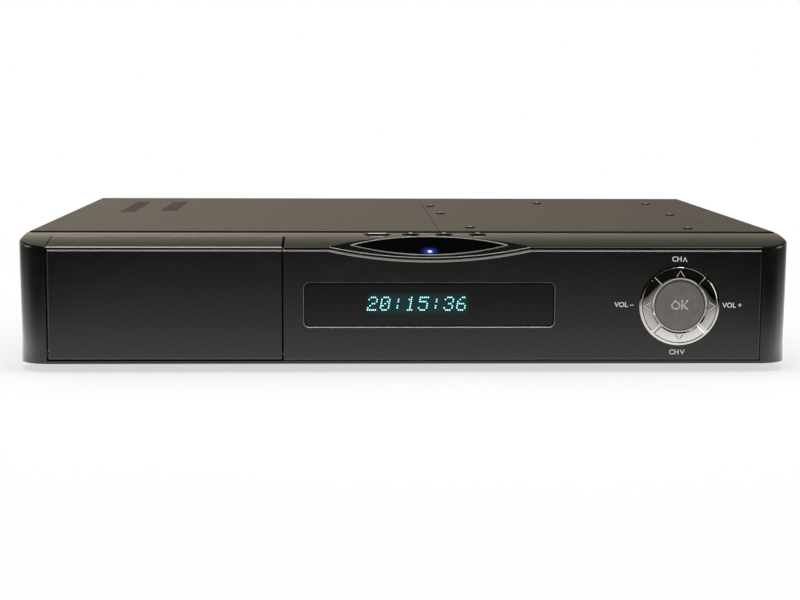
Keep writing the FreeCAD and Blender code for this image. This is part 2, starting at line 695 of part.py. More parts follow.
def base_pan():
    half = COVER_WIDTH / 2 - 1.1
    floor = box(-half, half, SEAM, REAR, LOW, LOW + SHEET)
    left = box(-half, -half + SHEET, SEAM, REAR - SHEET, LOW, LOW + 14)
    right = box(half - SHEET, half, SEAM, REAR - SHEET, LOW, LOW + 14)
    wall = box(-half, half, SEAM, SEAM + SHEET, LOW, TOP - 1.6)
    wall = wall.cut(box(-165, -62, SEAM - 1, SEAM + 2, LOW + 5, TOP - 10))
    wall = wall.cut(box(-30, 60, SEAM - 1, SEAM + 2, LOW + 20, TOP - 18))
    posts = []
    for x, y in board_posts():
        posts.append(rod(x, y, LOW + SHEET, 3.0, MAIN_BOARD_Z - LOW - SHEET, Z_DIR))
    pan = join([floor, left, right, wall] + posts)
    slots = []
    for x in range(-150, -60, 8):
        slots.append(box(x, x + 2.5, SEAM + 110, SEAM + 150, LOW - 1, LOW + SHEET + 1))
    for x in range(30, 120, 8):
        slots.append(box(x, x + 2.5, SEAM + 60, SEAM + 110, LOW - 1, LOW + SHEET + 1))
    return pan.cut(slots)


MAIN_BOARD = (-60.0, 175.0, REAR - 90.0, REAR - 2.5)
POWER_BOARD = (-172.0, -72.0, SEAM + 100.0, REAR - 16.0)


def board_posts():
    places = []
    for x0, x1, y0, y1 in (MAIN_BOARD, POWER_BOARD):
        for x in (x0 + 5, x1 - 5):
            for y in (y0 + 5, y1 - 12):
                places.append((x, y))
    return places


def main_board():
    x0, x1, y0, y1 = MAIN_BOARD
    return box(x0, x1, y0, y1, MAIN_BOARD_Z, MAIN_BOARD_Z + BOARD_THICK)


BOARD_TOP = MAIN_BOARD_Z + BOARD_THICK


def board_chips():
    chips = [box(10, 41, REAR - 78, REAR - 47, BOARD_TOP, BOARD_TOP + 2.3)]
    for x in (-14, 46, 58):
        chips.append(box(x, x + 10, REAR - 70, REAR - 54, BOARD_TOP, BOARD_TOP + 1.1))
    chips.append(box(-44, -30, REAR - 62, REAR - 48, BOARD_TOP, BOARD_TOP + 1.6))
    return group(chips)


def chip_heat_sink():
    z0 = BOARD_TOP + 2.3
    base = box(8, 43, REAR - 80, REAR - 45, z0, z0 + 2)
    fins = [box(8, 43, REAR - 80 + step * 3.7, REAR - 78.6 + step * 3.7, z0 + 1.5, z0 + 13) for step in range(10)]
    return join([base] + fins)


def tuner_cans():
    """Two screened tuner boxes on the main board."""
    cans = []
    for x, z_top in ((150.0, 54.0), (168.0, 54.0)):
        cans.append(box(x - 8.2, x + (8.2 if x < 160 else 6.6), REAR - 56, REAR - SHEET - 0.2, BOARD_TOP, z_top))
    return group(cans)


def antenna_connectors():
    """Coaxial sockets with their hexagon bases; the thread is left plain."""
    sockets = []
    for x, z in ANTENNA_PLACES:
        barrel = rod(x, REAR - SHEET - 0.2, z, 4.75, CONNECTOR_REACH + SHEET + 0.2, Y_DIR)
        hexagon = plate([(x + 6.35 * math.cos(math.radians(60 * k)), REAR,
                          z + 6.35 * math.sin(math.radians(60 * k))) for k in range(6)], V(0, 2.0, 0))
        bore = rod(x, REAR + 4, z, 1.1, 10, Y_DIR)
        sockets.append(join([barrel, hexagon]).cut(bore))
    return group(sockets)


def power_board():
    x0, x1, y0, y1 = POWER_BOARD
    return box(x0, x1, y0, y1, MAIN_BOARD_Z, MAIN_BOARD_Z + BOARD_THICK)


def power_transformer():
    x = -118.0
    y = SEAM + 150.0
    core = box(x - 16, x + 16, y - 13, y + 13, BOARD_TOP + 4, BOARD_TOP + 26)
    feet = box(x - 14, x + 14, y - 16, y + 16, BOARD_TOP, BOARD_TOP + 4)
    winding = rod(x, y, BOARD_TOP + 26, 11, 3, Z_DIR)
    return join([core, feet, winding])


def power_capacitors():
    cans = []
    for x, y, radius, high in ((-150, SEAM + 130, 11.0, 32.0), (-86, SEAM + 140, 6.3, 22.0),
                               (-86, SEAM + 158, 6.3, 22.0), (-86, SEAM + 176, 5.0, 18.0)):
        cans.append(rod(x, y, BOARD_TOP, radius, high, Z_DIR))
    return group(cans)


def power_heat_sink():
    back = box(-160, -158, SEAM + 152, SEAM + 208, BOARD_TOP, BOARD_TOP + 30)
    fins = [box(-158.2, -148, SEAM + 152 + 6 * step, SEAM + 153.5 + 6 * step, BOARD_TOP, BOARD_TOP + 30)
            for step in range(10)]
    return join([back] + fins)


DRIVE = (35.0, 136.6, SEAM + 6.0, SEAM + 153.0)
DRIVE_Z = 30.0


def hard_drive():
    x0, x1, y0, y1 = DRIVE
    case = box(x0, x1, y0, y1, DRIVE_Z, DRIVE_Z + 24.0)
    lid = rounded_slab_flat(x0 + 3, x1 - 3, y0 + 3, y1 - 12, 6.0, DRIVE_Z + 24.0, DRIVE_Z + 26.1)
    return join([case, lid])


def rounded_slab_flat(x0, x1, y0, y1, radius, z0, z1):
    slab = box(x0, x1, y0, y1, z0, z1)
    edges = [edge for edge in slab.Edges if abs(edge.tangentAt(0).z) > 0.9]
    return slab.makeFillet(radius, edges)


def drive_bracket():
    x0, x1, y0, y1 = DRIVE
    z = DRIVE_Z
    tray = box(x0 - 1.2, x1 + 1.2, y0 + 6, y1 - 4, z - 1.2, z)
    left = box(x0 - 1.2, x0, y0 + 6, y1 - 4, z - 1.2, z + 14)
    right = box(x1, x1 + 1.2, y0 + 6, y1 - 4, z - 1.2, z + 14)
    legs = []
    for x in (x0 - 1.2, x1 - 8.8):
        for y in (y0 + 6, y1 - 16):
            legs.append(box(x, x + 10, y, y + 1.2, LOW + SHEET, z - 1.2))
            legs.append(box(x, x + 10, y, y + 10, LOW + SHEET, LOW + SHEET + 1.2))
    bracket = join([tray, left, right] + legs)
    window = box(x0 + 20, x1 - 20, y0 + 30, y1 - 30, z - 3, z + 1)
    holes = [rod(x0 - 3, y, z + 6.35, 1.6, 4, X_DIR) for y in drive_screw_depths()]
    holes += [rod(x1 - 1, y, z + 6.35, 1.6, 4, X_DIR) for y in drive_screw_depths()]
    return bracket.cut([window] + holes)


def drive_screw_depths():
    return (DRIVE[2] + 28.5, DRIVE[2] + 130.1)


def drive_screws():
    x0, x1 = DRIVE[:2]
    screws = []
    for y in drive_screw_depths():
        for x, step in ((x0, -1), (x1, 1)):
            shank = rod(x, y, DRIVE_Z + 6.35, 1.5, 1.2, V(step, 0, 0))
            head = rod(x + 1.2 * step, y, DRIVE_Z + 6.35, 3.0, 1.6, V(step, 0, 0))
            screws.append(join([shank, head]))
    return screws


def fan_frame():
    y0 = REAR - SHEET - FAN_THICK
    half = FAN_SIZE / 2
    frame = rounded_slab(FAN_X - half, FAN_X + half, FAN_Z - half, FAN_Z + half, 3.0, y0, y0 + FAN_THICK)
    frame = frame.cut(rod(FAN_X, y0 - 1, FAN_Z, 18.8, FAN_THICK + 2, Y_DIR))
    motor = rod(FAN_X, y0, FAN_Z, 8.0, 2.0, Y_DIR)
    bearing = rod(FAN_X, y0, FAN_Z, 3.0, 5.0, Y_DIR)
    struts = []
    for angle in (45, 135, 225, 315):
        strut = box(FAN_X + 6, FAN_X + 20, y0, y0 + 1.6, FAN_Z - 1.2, FAN_Z + 1.2)
        strut.rotate(V(FAN_X, 0, FAN_Z), Y_DIR, angle)
        struts.append(strut)
    frame = join([frame, motor, bearing] + struts)
    return frame.cut(rod(FAN_X, y0 - 1, FAN_Z, 1.0 + RUNNING_GAP, 8, Y_DIR))


def fan_rotor():
    y0 = REAR - SHEET - FAN_THICK
    cup = rod(FAN_X, y0 + 2.6, FAN_Z, 9.5, 6.4, Y_DIR)
    cup = cup.cut(rod(FAN_X, y0 + 2.5, FAN_Z, 8.3, 4.6, Y_DIR))
    shaft = rod(FAN_X, y0 + 0.4, FAN_Z, 1.0, 7.5, Y_DIR)
    blades = []
    for step in range(7):
        blade = box(FAN_X + 8.8, FAN_X + 17.6, y0 + 5.3, y0 + 6.3, FAN_Z - 5, FAN_Z + 5)
        blade.rotate(V(FAN_X, y0 + 5.8, FAN_Z), X_DIR, 28)
        blade = blade.common(ring(FAN_X, y0, FAN_Z, 17.8, 9.0, FAN_THICK, Y_DIR))
        blade.rotate(V(FAN_X, 0, FAN_Z), Y_DIR, step * 360.0 / 7)
        blades.append(blade)
    return join([cup, shaft] + blades)


def mains_inlet():
    """Two-pin figure-of-eight inlet with its recess."""
    x, z = INLET_X, INLET_Z
    body = box(x - 12, x + 12, REAR - 18, REAR + 1.0, z - 8, z + 8)
    flange = box(x - 14, x + 14, REAR, REAR + 1.6, z - 10, z + 10)
    left = rod(x - 4.3, REAR - 12, z, 4.6, 20, Y_DIR)
    right = rod(x + 4.3, REAR - 12, z, 4.6, 20, Y_DIR)
    middle = box(x - 4.3, x + 4.3, REAR - 12, REAR + 8, z - 4.6, z + 3.2)
    recess = join([left, right, middle])
    shell = join([body, flange]).cut(recess)
    pins = [rod(x + dx, REAR - 13, z, 1.2, 11, Y_DIR) for dx in (-4.3, 4.3)]
    return join([shell] + pins)


def mains_switch_body():
    x, z = ROCKER_X, ROCKER_Z
    body = box(x - 9.5, x + 9.5, REAR - 15, REAR + 0.5, z - 6.5, z + 6.5)
    flange = box(x - 10.5, x + 10.5, REAR, REAR + 1.4, z - 7.5, z + 7.5)
    pocket = box(x - 8.2, x + 8.2, REAR - 9, REAR + 3, z - 5.2, z + 5.2)
    shell = join([body, flange]).cut(pocket)
    return shell.cut(rod(x, REAR - 2.0, z - 6.2, 1.0 + RUNNING_GAP, 12.4, Z_DIR))


def mains_rocker():
    """Rocker that tips about an upright pin, at rest on its closed side."""
    x, z = ROCKER_X, ROCKER_Z
    points = [(x - 7.0, REAR + 1.2, z - 4.9), (x, REAR + 0.2, z - 4.9), (x + 7.0, REAR + 1.2, z - 4.9),
              (x + 6.2, REAR - 1.5, z - 4.9), (x + 2.0, REAR - 4.5, z - 4.9),
              (x - 2.0, REAR - 4.5, z - 4.9), (x - 6.2, REAR - 1.5, z - 4.9)]
    body = plate(points, V(0, 0, 9.8))
    pin = rod(x, REAR - 2.0, z - 6.0, 1.0, 12.0, Z_DIR)
    rocker = join([body, pin])
    rocker.rotate(V(x, REAR - 2.0, z), Z_DIR, ROCKER_TILT)
    return rocker


def scart_sockets():
    sockets = []
    wide, high = SCART_SIZE
    for z in SCART_Z:
        x0 = SCART_X - wide / 2
        x1 = SCART_X + wide / 2
        body = box(x0, x1, REAR - 16, REAR + 1.5, z, z + high)
        mouth = box(x0 + 2, x1 - 2, REAR - 10, REAR + 3, z + 2.5, z + high - 2.5)
        tongue = box(x0 + 6, x1 - 6, REAR - 11, REAR - 2, z + high / 2 - 0.8, z + high / 2 + 0.8)
        corner = plate([(x0 + 1, REAR - 10, z + high - 1), (x0 + 7, REAR - 10, z + high - 1),
                        (x0 + 1, REAR - 10, z + high - 7)], V(0, 13, 0))
        sockets.append(join([body.cut(mouth.cut(corner)), tongue]))
    return group(sockets)


def phono_sockets():
    """Six sockets, each with its own block behind the rear wall."""
    sockets = []
    for x, z in phono_places():
        block = box(x - 5.6, x + 5.6, REAR - 10, REAR - SHEET, z - 5.8, z + 5.8)
        barrel = rod(x, REAR - SHEET - 0.5, z, 4.1, 9.5, Y_DIR)
        bore = rod(x, REAR - 6, z, 1.7, 16, Y_DIR)
        sockets.append(join([block, barrel]).cut(bore))
    return group(sockets)


def hdmi_port():
    x = HDMI_X
    shell = box(x - 7.5, x + 7.5, REAR - 11, REAR + 0.8, BOARD_TOP + 0.4, 20.0)
    hollow = box(x - 7.0, x + 7.0, REAR - 9, REAR + 2, BOARD_TOP + 0.9, 19.5)
    tongue = box(x - 5.5, x + 5.5, REAR - 10, REAR - 0.5, 16.6, 17.4)
    foot = box(x - 6, x + 6, REAR - 10, REAR - 3, BOARD_TOP, BOARD_TOP + 0.6)
    return join([shell.cut(hollow), tongue, foot])


def optical_port():
    x = OPTICAL_X
    body = box(x - 5, x + 5, REAR - 12, REAR + 1.0, BOARD_TOP + 0.4, 24.0)
    door = box(x - 3.5, x + 3.5, REAR + 0.4, REAR + 2, 16.0, 22.5)
    foot = box(x - 4, x + 4, REAR - 11, REAR - 3, BOARD_TOP, BOARD_TOP + 0.6)
    return join([body.cut(door), foot])


def network_port():
    x = NETWORK_X
    body = box(x - 8, x + 8, REAR - 19, REAR + 0.8, BOARD_TOP + 0.4, 27.5)
    mouth = box(x - 5.9, x + 5.9, REAR - 14, REAR + 2, 16.4, 24.4)
    latch = box(x - 2.0, x + 2.0, REAR - 14, REAR + 2, 14.9, 16.6)
    foot = box(x - 7, x + 7, REAR - 18, REAR - 3, BOARD_TOP, BOARD_TOP + 0.6)
    return join([body.cut([mouth, latch]), foot])


def rear_usb_ports():
    lower = usb_shell(USB_X, 14.4, REAR + 0.8, REAR - 14)
    upper = usb_shell(USB_X, 22.9, REAR + 0.8, REAR - 14)
    back = box(USB_X - 6.6, USB_X + 6.6, REAR - 16, REAR - 14, BOARD_TOP, 28.7)
    spacer = box(USB_X - 6.6, USB_X + 6.6, REAR - 14, REAR - 1.5, 20.2, 22.9)
    return join([lower, upper, back, spacer])


def serial_port():
    x = SERIAL_X
    body = box(x - 15.5, x + 15.5, REAR - 12, REAR - SHEET - 0.1, BOARD_TOP, 26.2)
    shell = plate([(x - 8.4, REAR - 2, 24.2), (x + 8.4, REAR - 2, 24.2), (x + 7.2, REAR - 2, 16.0),
                   (x - 7.2, REAR - 2, 16.0)], V(0, 7.5, 0))
    hollow = plate([(x - 7.9, REAR, 23.7), (x + 7.9, REAR, 23.7), (x + 6.8, REAR, 16.5),
                    (x - 6.8, REAR, 16.5)], V(0, 8, 0))
    nuts = [rod(x + dx, REAR - SHEET - 0.2, 20.1, 2.6, 5.0, Y_DIR) for dx in (-12.5, 12.5)]
    bores = [rod(x + dx, REAR - 1, 20.1, 1.2, 10, Y_DIR) for dx in (-12.5, 12.5)]
    pins = []
    for row, count in ((21.5, 5), (18.7, 4)):
        for k in range(count):
            pins.append(rod(x + (k - (count - 1) / 2) * 2.77, REAR - 0.5, row, 0.5, 5, Y_DIR))
    return join([body, shell.cut(hollow)] + nuts + pins).cut(bores)


def top_cover():
    half = COVER_WIDTH / 2
    y0 = SEAM + 0.4
    outer = box(-half, half, y0, REAR, LOW + 0.6, TOP)
    edges = [edge for edge in outer.Edges
             if abs(edge.tangentAt(0).y) > 0.9 and edge.CenterOfMass.z > TOP - 1]
    outer = outer.makeFillet(1.6, edges)
    inner = box(-half + SHEET, half - SHEET, y0 - 1, REAR + 1, LOW - 5, TOP - SHEET)
    cover = outer.cut(inner)
    x0, x1, b0, b1 = BAY
    ledge = box(x0 - 4, x1 + 4, b0 - 2, b1 + 4, TOP - 2 * SHEET, TOP - SHEET)
    ledge = ledge.cut(box(x0 + 10, x1 - 10, b0 + 24, b1 - 10, TOP - 5, TOP))
    cover = join([cover, ledge])
    cover = cover.cut(box(x0, x1, b0, b1, TOP - SHEET, TOP + 1))
    slots = []
    for left, right, start, count in ((-153.0, -144.4, 124.0, 21), (-131.5, -122.6, 132.0, 19)):
        for k in range(count):
            y = SEAM + start + 4.1 * k
            slots.append(box(left, right, y, y + 1.9, TOP - 3, TOP + 1))
    for side in (-1, 1):
        for k in range(16):
            y = SEAM + 60 + 6 * k
            x = side * (half - 0.5)
            slots.append(box(x - 1.5, x + 1.5, y, y + 2.2, 30, 50))
    for x, y in LID_SCREW_PLACES:
        slots.append(rod(x, SEAM + y, TOP - 4, SCREW_RADIUS, 5, Z_DIR))
    return cover.cut(slots)


def drive_lid():
    x0, x1, y0, y1 = BAY
    lid = rounded_slab_flat(x0 + LID_GAP, x1 - LID_GAP, y0 + LID_GAP, y1 - LID_GAP, 1.5, TOP - SHEET, TOP)
    return lid.cut([rod(x, SEAM + y, TOP - 4, SCREW_RADIUS, 5, Z_DIR) for x, y in LID_SCREW_PLACES])


def lid_screws():
    screws = []
    for x, y in LID_SCREW_PLACES:
        shank = rod(x, SEAM + y, TOP - 2.0 * SHEET, SCREW_RADIUS, 2.0 * SHEET, Z_DIR)
        head = rod(x, SEAM + y, TOP, SCREW_HEAD_RADIUS, 0.8, Z_DIR)
        rim = [edge for edge in head.Edges if edge.CenterOfMass.z > TOP + 0.5 and edge.Closed]
        head = head.makeFillet(0.35, rim)
        cross = [box(x - 1.8, x + 1.8, SEAM + y - 0.35, SEAM + y + 0.35, TOP + 0.25, TOP + 1),
                 box(x - 0.35, x + 0.35, SEAM + y - 1.8, SEAM + y + 1.8, TOP + 0.25, TOP + 1)]
        screws.append(join([shank, head]).cut(cross))
    return group(screws)


def case_screws():
    """Screws of the rear panel and of the drive bracket."""
    screws = drive_screws()
    for x, z in cover_screw_places():
        shank = rod(x, REAR - SHEET, z, SCREW_RADIUS, SHEET, Y_DIR)
        head = rod(x, REAR, z, SCREW_HEAD_RADIUS, 1.6, Y_DIR)
        cross = [box(x - 1.8, x + 1.8, REAR + 0.8, REAR + 3, z - 0.35, z + 0.35),
                 box(x - 0.35, x + 0.35, REAR + 0.8, REAR + 3, z - 1.8, z + 1.8)]
        screws.append(join([shank, head]).cut(cross))
    return group(screws)


def feet():
    pads = []
    for x in (-148, 148):
        for y in (SEAM + 32, REAR - 32):
            pad = rod(x, y, 0, 9.0, FOOT_HEIGHT, Z_DIR)
            rim = [edge for edge in pad.Edges if edge.CenterOfMass.z < 0.1 and edge.Closed]
            pads.append(pad.makeFillet(0.8, rim))
    return group(pads)


def build_all():
    os.makedirs("parts", exist_ok=True)
    save("base_pan", base_pan())
    save("rear_panel", rear_panel())
    save("top_cover", top_cover())
    save("drive_lid", drive_lid())
    save("lid_screws", lid_screws())
    save("case_screws", case_screws())
    save("rubber_feet", feet())
    save("front_bezel", front_bezel())
    save("front_panel", front_panel())
    save("flap_door", flap_door())
    save("door_strike", door_strike())
    save("door_pins", door_pins())
    save("door_catch", door_catch())
    save("slot_plate", slot_plate())
    for name, z in zip(("lower", "upper"), MODULE_SLOT_Z):
        save("module_cage_" + name, module_cage(z))
        save("module_ejector_" + name, module_ejector(z))
    save("card_readers", card_readers())
    save("display_window", display_window())
    save("display_module", display_module())
    save("status_lens", status_lens())
    save("lens_rim", lens_rim())
    save("status_led", status_led())
    save("standby_button", standby_button())
    for name, x in zip(("menu", "exit", "mode"), ROUND_KEY_X):
        save(name + "_button", round_button(x))
    save("key_frame", key_frame())
    for name, angle in (("right", 0), ("down", 90), ("left", 180), ("up", 270)):
        save(name + "_key", sector_key(angle))
    save("ok_key", ok_key())
    save("front_board", front_board())
    save("top_key_board", top_key_board())
    save("tact_switches", tact_switches())
    save("infrared_receiver", infrared_receiver())
    save("main_board", main_board())
    save("board_chips", board_chips())
    save("heat_sinks", group([chip_heat_sink(), power_heat_sink()]))
    save("tuner_cans", tuner_cans())
    save("antenna_connectors", antenna_connectors())
    save("power_board", power_board())
    save("power_transformer", power_transformer())
    save("power_capacitors", power_capacitors())
    save("hard_drive", hard_drive())
    save("drive_bracket", drive_bracket())
    save("fan_frame", fan_frame())
    save("fan_rotor", fan_rotor())
    save("mains_inlet", mains_inlet())
    save("mains_switch_body", mains_switch_body())
    save("mains_rocker", mains_rocker())
    save("scart_sockets", scart_sockets())
    save("phono_sockets", phono_sockets())
    save("hdmi_port", hdmi_port())
    save("optical_port", optical_port())
    save("network_port", network_port())
    save("usb_ports", group([front_usb_port(), rear_usb_ports()]))
    save("serial_port", serial_port())


build_all()
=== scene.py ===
import math
import bmesh
import bpy
from mathutils import Matrix, Vector


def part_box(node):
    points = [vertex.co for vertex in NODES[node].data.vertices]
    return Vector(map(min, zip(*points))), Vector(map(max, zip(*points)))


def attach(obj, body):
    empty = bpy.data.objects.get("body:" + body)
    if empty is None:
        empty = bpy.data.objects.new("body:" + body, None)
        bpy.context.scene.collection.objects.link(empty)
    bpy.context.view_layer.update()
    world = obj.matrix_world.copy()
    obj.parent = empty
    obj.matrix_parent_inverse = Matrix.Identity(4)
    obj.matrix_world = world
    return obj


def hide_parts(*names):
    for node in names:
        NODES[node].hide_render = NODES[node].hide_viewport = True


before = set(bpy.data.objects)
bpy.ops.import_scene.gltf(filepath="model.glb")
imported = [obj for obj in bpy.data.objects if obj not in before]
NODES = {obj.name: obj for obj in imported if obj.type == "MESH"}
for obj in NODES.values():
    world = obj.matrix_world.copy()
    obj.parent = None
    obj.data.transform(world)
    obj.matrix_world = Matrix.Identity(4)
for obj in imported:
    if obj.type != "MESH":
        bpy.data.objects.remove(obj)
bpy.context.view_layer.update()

MM = 0.001

# Planes and centres taken from the frame, in metres
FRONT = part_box("front_panel")[0].y
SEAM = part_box("front_bezel")[1].y
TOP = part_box("drive_lid")[1].z
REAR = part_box("rear_panel")[1].y
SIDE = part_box("front_bezel")[1].x
OK_LOW, OK_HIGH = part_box("ok_key")
PAD_X = (OK_LOW.x + OK_HIGH.x) / 2
PAD_Z = (OK_LOW.z + OK_HIGH.z) / 2


def vector(x, y, z):
    return Vector((x * MM, y * MM, z * MM))


# Camera at the photograph's angle

CAMERA_PLACE = vector(-27.6, -926.29, 132.07)
CAMERA_PITCH = math.radians(7.122)
CAMERA_YAW = math.radians(1.80)
CAMERA_ROLL = math.radians(0.222)
CAMERA_LENS = 76.5
CAMERA_SENSOR = 36.0
CAMERA_CLIP = (0.01, 50.0)


def make_camera():
    data = bpy.data.cameras.new("camera")
    data.lens = CAMERA_LENS
    data.sensor_width = CAMERA_SENSOR
    data.clip_start, data.clip_end = CAMERA_CLIP
    camera = bpy.data.objects.new("camera", data)
    bpy.context.scene.collection.objects.link(camera)
    ahead = Vector((
        math.sin(CAMERA_YAW) * math.cos(CAMERA_PITCH),
        math.cos(CAMERA_YAW) * math.cos(CAMERA_PITCH),
        -math.sin(CAMERA_PITCH),
    ))
    level = Vector((math.cos(CAMERA_YAW), -math.sin(CAMERA_YAW), 0))
    above = level.cross(ahead)
    right = level * math.cos(CAMERA_ROLL) + above * math.sin(CAMERA_ROLL)
    up = above * math.cos(CAMERA_ROLL) - level * math.sin(CAMERA_ROLL)
    turn = Matrix((right, up, -ahead)).transposed().to_4x4()
    camera.matrix_world = Matrix.Translation(CAMERA_PLACE) @ turn
    bpy.context.scene.camera = camera


make_camera()


# Node helpers

MIX_FIRST = 6
MIX_SECOND = 7
MIX_RESULT = 2


class Nodes:
    """A short way to build one material's node tree."""

    def __init__(self, name):
        self.material = bpy.data.materials.new(name)
        self.material.use_nodes = True
        self.tree = self.material.node_tree
        self.shader = self.tree.nodes["Principled BSDF"]
        self.coords = self.tree.nodes.new("ShaderNodeTexCoord")

    def add(self, kind, **values):
        node = self.tree.nodes.new(kind)
        for key, value in values.items():
            setattr(node, key, value)
        return node

    def link(self, source, target):
        self.tree.links.new(source, target)

    def noise(self, scale, detail=3.0, roughness=0.55, source=None):
        node = self.add("ShaderNodeTexNoise")
        node.inputs["Scale"].default_value = scale
        node.inputs["Detail"].default_value = detail
        node.inputs["Roughness"].default_value = roughness
        self.link(source or self.coords.outputs["Object"], node.inputs["Vector"])
        return node.outputs["Fac"]

    def stretch(self, scale):
        node = self.add("ShaderNodeMapping")
        node.inputs["Scale"].default_value = scale
        self.link(self.coords.outputs["Object"], node.inputs["Vector"])
        return node.outputs["Vector"]

    def spread(self, value, from_low, from_high, to_low, to_high):
        node = self.add("ShaderNodeMapRange")
        node.inputs["From Min"].default_value = from_low
        node.inputs["From Max"].default_value = from_high
        node.inputs["To Min"].default_value = to_low
        node.inputs["To Max"].default_value = to_high
        self.link(value, node.inputs["Value"])
        return node.outputs["Result"]

    def math(self, operation, first, second):
        node = self.add("ShaderNodeMath", operation=operation)
        for socket, value in zip(node.inputs, (first, second)):
            if isinstance(value, (int, float)):
                socket.default_value = value
            else:
                self.link(value, socket)
        return node.outputs[0]

    def blend(self, factor, first, second):
        node = self.add("ShaderNodeMix", data_type="RGBA")
        self.link(factor, node.inputs["Factor"])
        for index, value in ((MIX_FIRST, first), (MIX_SECOND, second)):
            if isinstance(value, tuple):
                node.inputs[index].default_value = (*value, 1.0)
            else:
                self.link(value, node.inputs[index])
        return node.outputs[MIX_RESULT]

    def axes(self, source="Object"):
        """X, Y and Z of a texture coordinate."""
        node = self.add("ShaderNodeSeparateXYZ")
        self.link(self.coords.outputs[source], node.inputs["Vector"])
        return node.outputs

    def cells(self, scale):
        node = self.add("ShaderNodeTexVoronoi")
        node.inputs["Scale"].default_value = scale
        self.link(self.coords.outputs["Object"], node.inputs["Vector"])
        return node.outputs

    def light(self, colour):
        """Plain emission of one colour; the caller sets or links its strength."""
        node = self.add("ShaderNodeEmission")
        node.inputs["Color"].default_value = (*colour, 1.0)
        return node

    def surface(self, shader):
        self.link(shader, self.tree.nodes["Material Output"].inputs["Surface"])

    def bump(self, height, strength, distance):
        node = self.add("ShaderNodeBump")
        node.inputs["Strength"].default_value = strength
        node.inputs["Distance"].default_value = distance
        self.link(height, node.inputs["Height"])
        self.link(node.outputs["Normal"], self.shader.inputs["Normal"])
        return node

    def set(self, **values):
        for key, value in values.items():
            socket = self.shader.inputs[key.replace("_", " ")]
            if isinstance(value, tuple):
                socket.default_value = (*value, 1.0) if len(value) == 3 else value
            else:
                socket.default_value = value


def mottled(name, dark, light, rough_low, rough_high, scale, bump, metallic=0.0, **constants):
    """Base look shared by most finishes: soft mottling, uneven roughness and a fine bump."""
    made = Nodes(name)
    patches = made.noise(scale * 0.12, 4.0)
    grain = made.noise(scale, 6.0, 0.6)
    colour = made.blend(made.spread(patches, 0.3, 0.7, 0.0, 1.0), dark, light)
    made.link(colour, made.shader.inputs["Base Color"])
    mixed = made.math("ADD", made.math("MULTIPLY", patches, 0.6), made.math("MULTIPLY", grain, 0.4))
    made.link(made.spread(mixed, 0.35, 0.65, rough_low, rough_high), made.shader.inputs["Roughness"])
    made.bump(grain, bump[0], bump[1])
    made.set(**{"Metallic": metallic, **constants})
    return made


DUST_TINT = (0.5, 0.48, 0.44)


def dusty(made, amount, density):
    """Sparse pale specks of dust on the surface."""
    spots = made.spread(made.cells(density)["Distance"], 0.02, 0.05, 1.0, 0.0)
    some = made.spread(made.noise(density * 0.3), 0.58, 0.62, 0.0, 1.0)
    mask = made.math("MULTIPLY", spots, some)
    base = made.shader.inputs["Base Color"]
    source = base.links[0].from_socket
    factor = made.math("MULTIPLY", mask, amount)
    made.link(made.blend(factor, source, DUST_TINT), base)
    return made


# Finishes

def gloss_black(name="gloss_black"):
    made = mottled(name, (0.0045, 0.0047, 0.0035), (0.0065, 0.0068, 0.0052), 0.11, 0.17, 900.0,
                   (0.03, 0.00004), IOR=1.5)
    return dusty(made, 0.2, 160.0)


BEVEL_REACH = 1.0 * MM
# The pale colour below paints a highlight on the sloped edges of the clear-faced sheet.
BEVEL_HIGHLIGHT_TINT = (0.44, 0.43, 0.41)
PANEL_FOOT = 5.0 * MM


def painted_bevel_highlights(made):
    """Painted highlight: pale colour on the sloped edges of the clear-faced sheet, so they read as pale
    lines; stronger lower down and full on edges that face up.
    """
    facing = made.axes("Normal")
    place = made.axes()
    flat_on = made.math("MULTIPLY", facing["Y"], -1.0)
    past_side = made.spread(flat_on, 0.5, 0.6, 0.0, 1.0)
    short_of_front = made.spread(flat_on, 0.93, 0.85, 0.0, 1.0)
    sloped = made.math("MULTIPLY", past_side, short_of_front)
    near = made.spread(place["Y"], FRONT + BEVEL_REACH, FRONT + BEVEL_REACH * 1.1, 1.0, 0.0)
    mask = made.math("MULTIPLY", sloped, near)
    # The painted highlight is stronger towards the bottom and full on edges that face up.
    lower = made.spread(place["Z"], PANEL_FOOT, TOP, 0.3, 0.06)
    upward_highlight = made.spread(facing["Z"], 0.3, 0.5, 0.0, 1.0)
    mask = made.math("MULTIPLY", mask, made.math("MAXIMUM", lower, upward_highlight))
    base = made.shader.inputs["Base Color"]
    made.link(made.blend(mask, base.links[0].from_socket, BEVEL_HIGHLIGHT_TINT), base)
    return made


# Gloss black with a painted highlight on its sloped edges.
def clear_faced_highlighted():
    return painted_bevel_highlights(gloss_black("clear_faced_highlighted")).material


def cover_paint():
    made = mottled("cover_paint", (0.035, 0.030, 0.023), (0.045, 0.039, 0.030), 0.42, 0.52, 2600.0,
                   (0.25, 0.00003), Specular_Tint=(1.0, 0.93, 0.84), Specular_IOR_Level=0.45)
    return dusty(made, 0.15, 120.0).material


def matte_black(name="matte_black", level=0.02):
    return mottled(name, (level * 0.8,) * 3, (level * 1.25,) * 3, 0.45, 0.62, 3000.0, (0.3, 0.00004)).material


def sheet_metal():
    made = Nodes("sheet_metal")
    fine = made.noise(1500.0, 4.0)
    tone = made.add("ShaderNodeSeparateColor")
    made.link(made.cells(180.0)["Color"], tone.inputs["Color"])
    shade = made.blend(tone.outputs[0], (0.46, 0.47, 0.48), (0.62, 0.63, 0.64))
    made.link(shade, made.shader.inputs["Base Color"])
    made.link(made.spread(tone.outputs[1], 0.0, 1.0, 0.28, 0.42), made.shader.inputs["Roughness"])
    made.bump(fine, 0.12, 0.00003)
    made.set(Metallic=1.0)
    return made.material


def rear_paint():
    made = mottled("rear_paint", (0.018, 0.018, 0.018), (0.026, 0.026, 0.026), 0.4, 0.55, 2600.0,
                   (0.3, 0.00003))
    return dusty(made, 0.15, 120.0).material


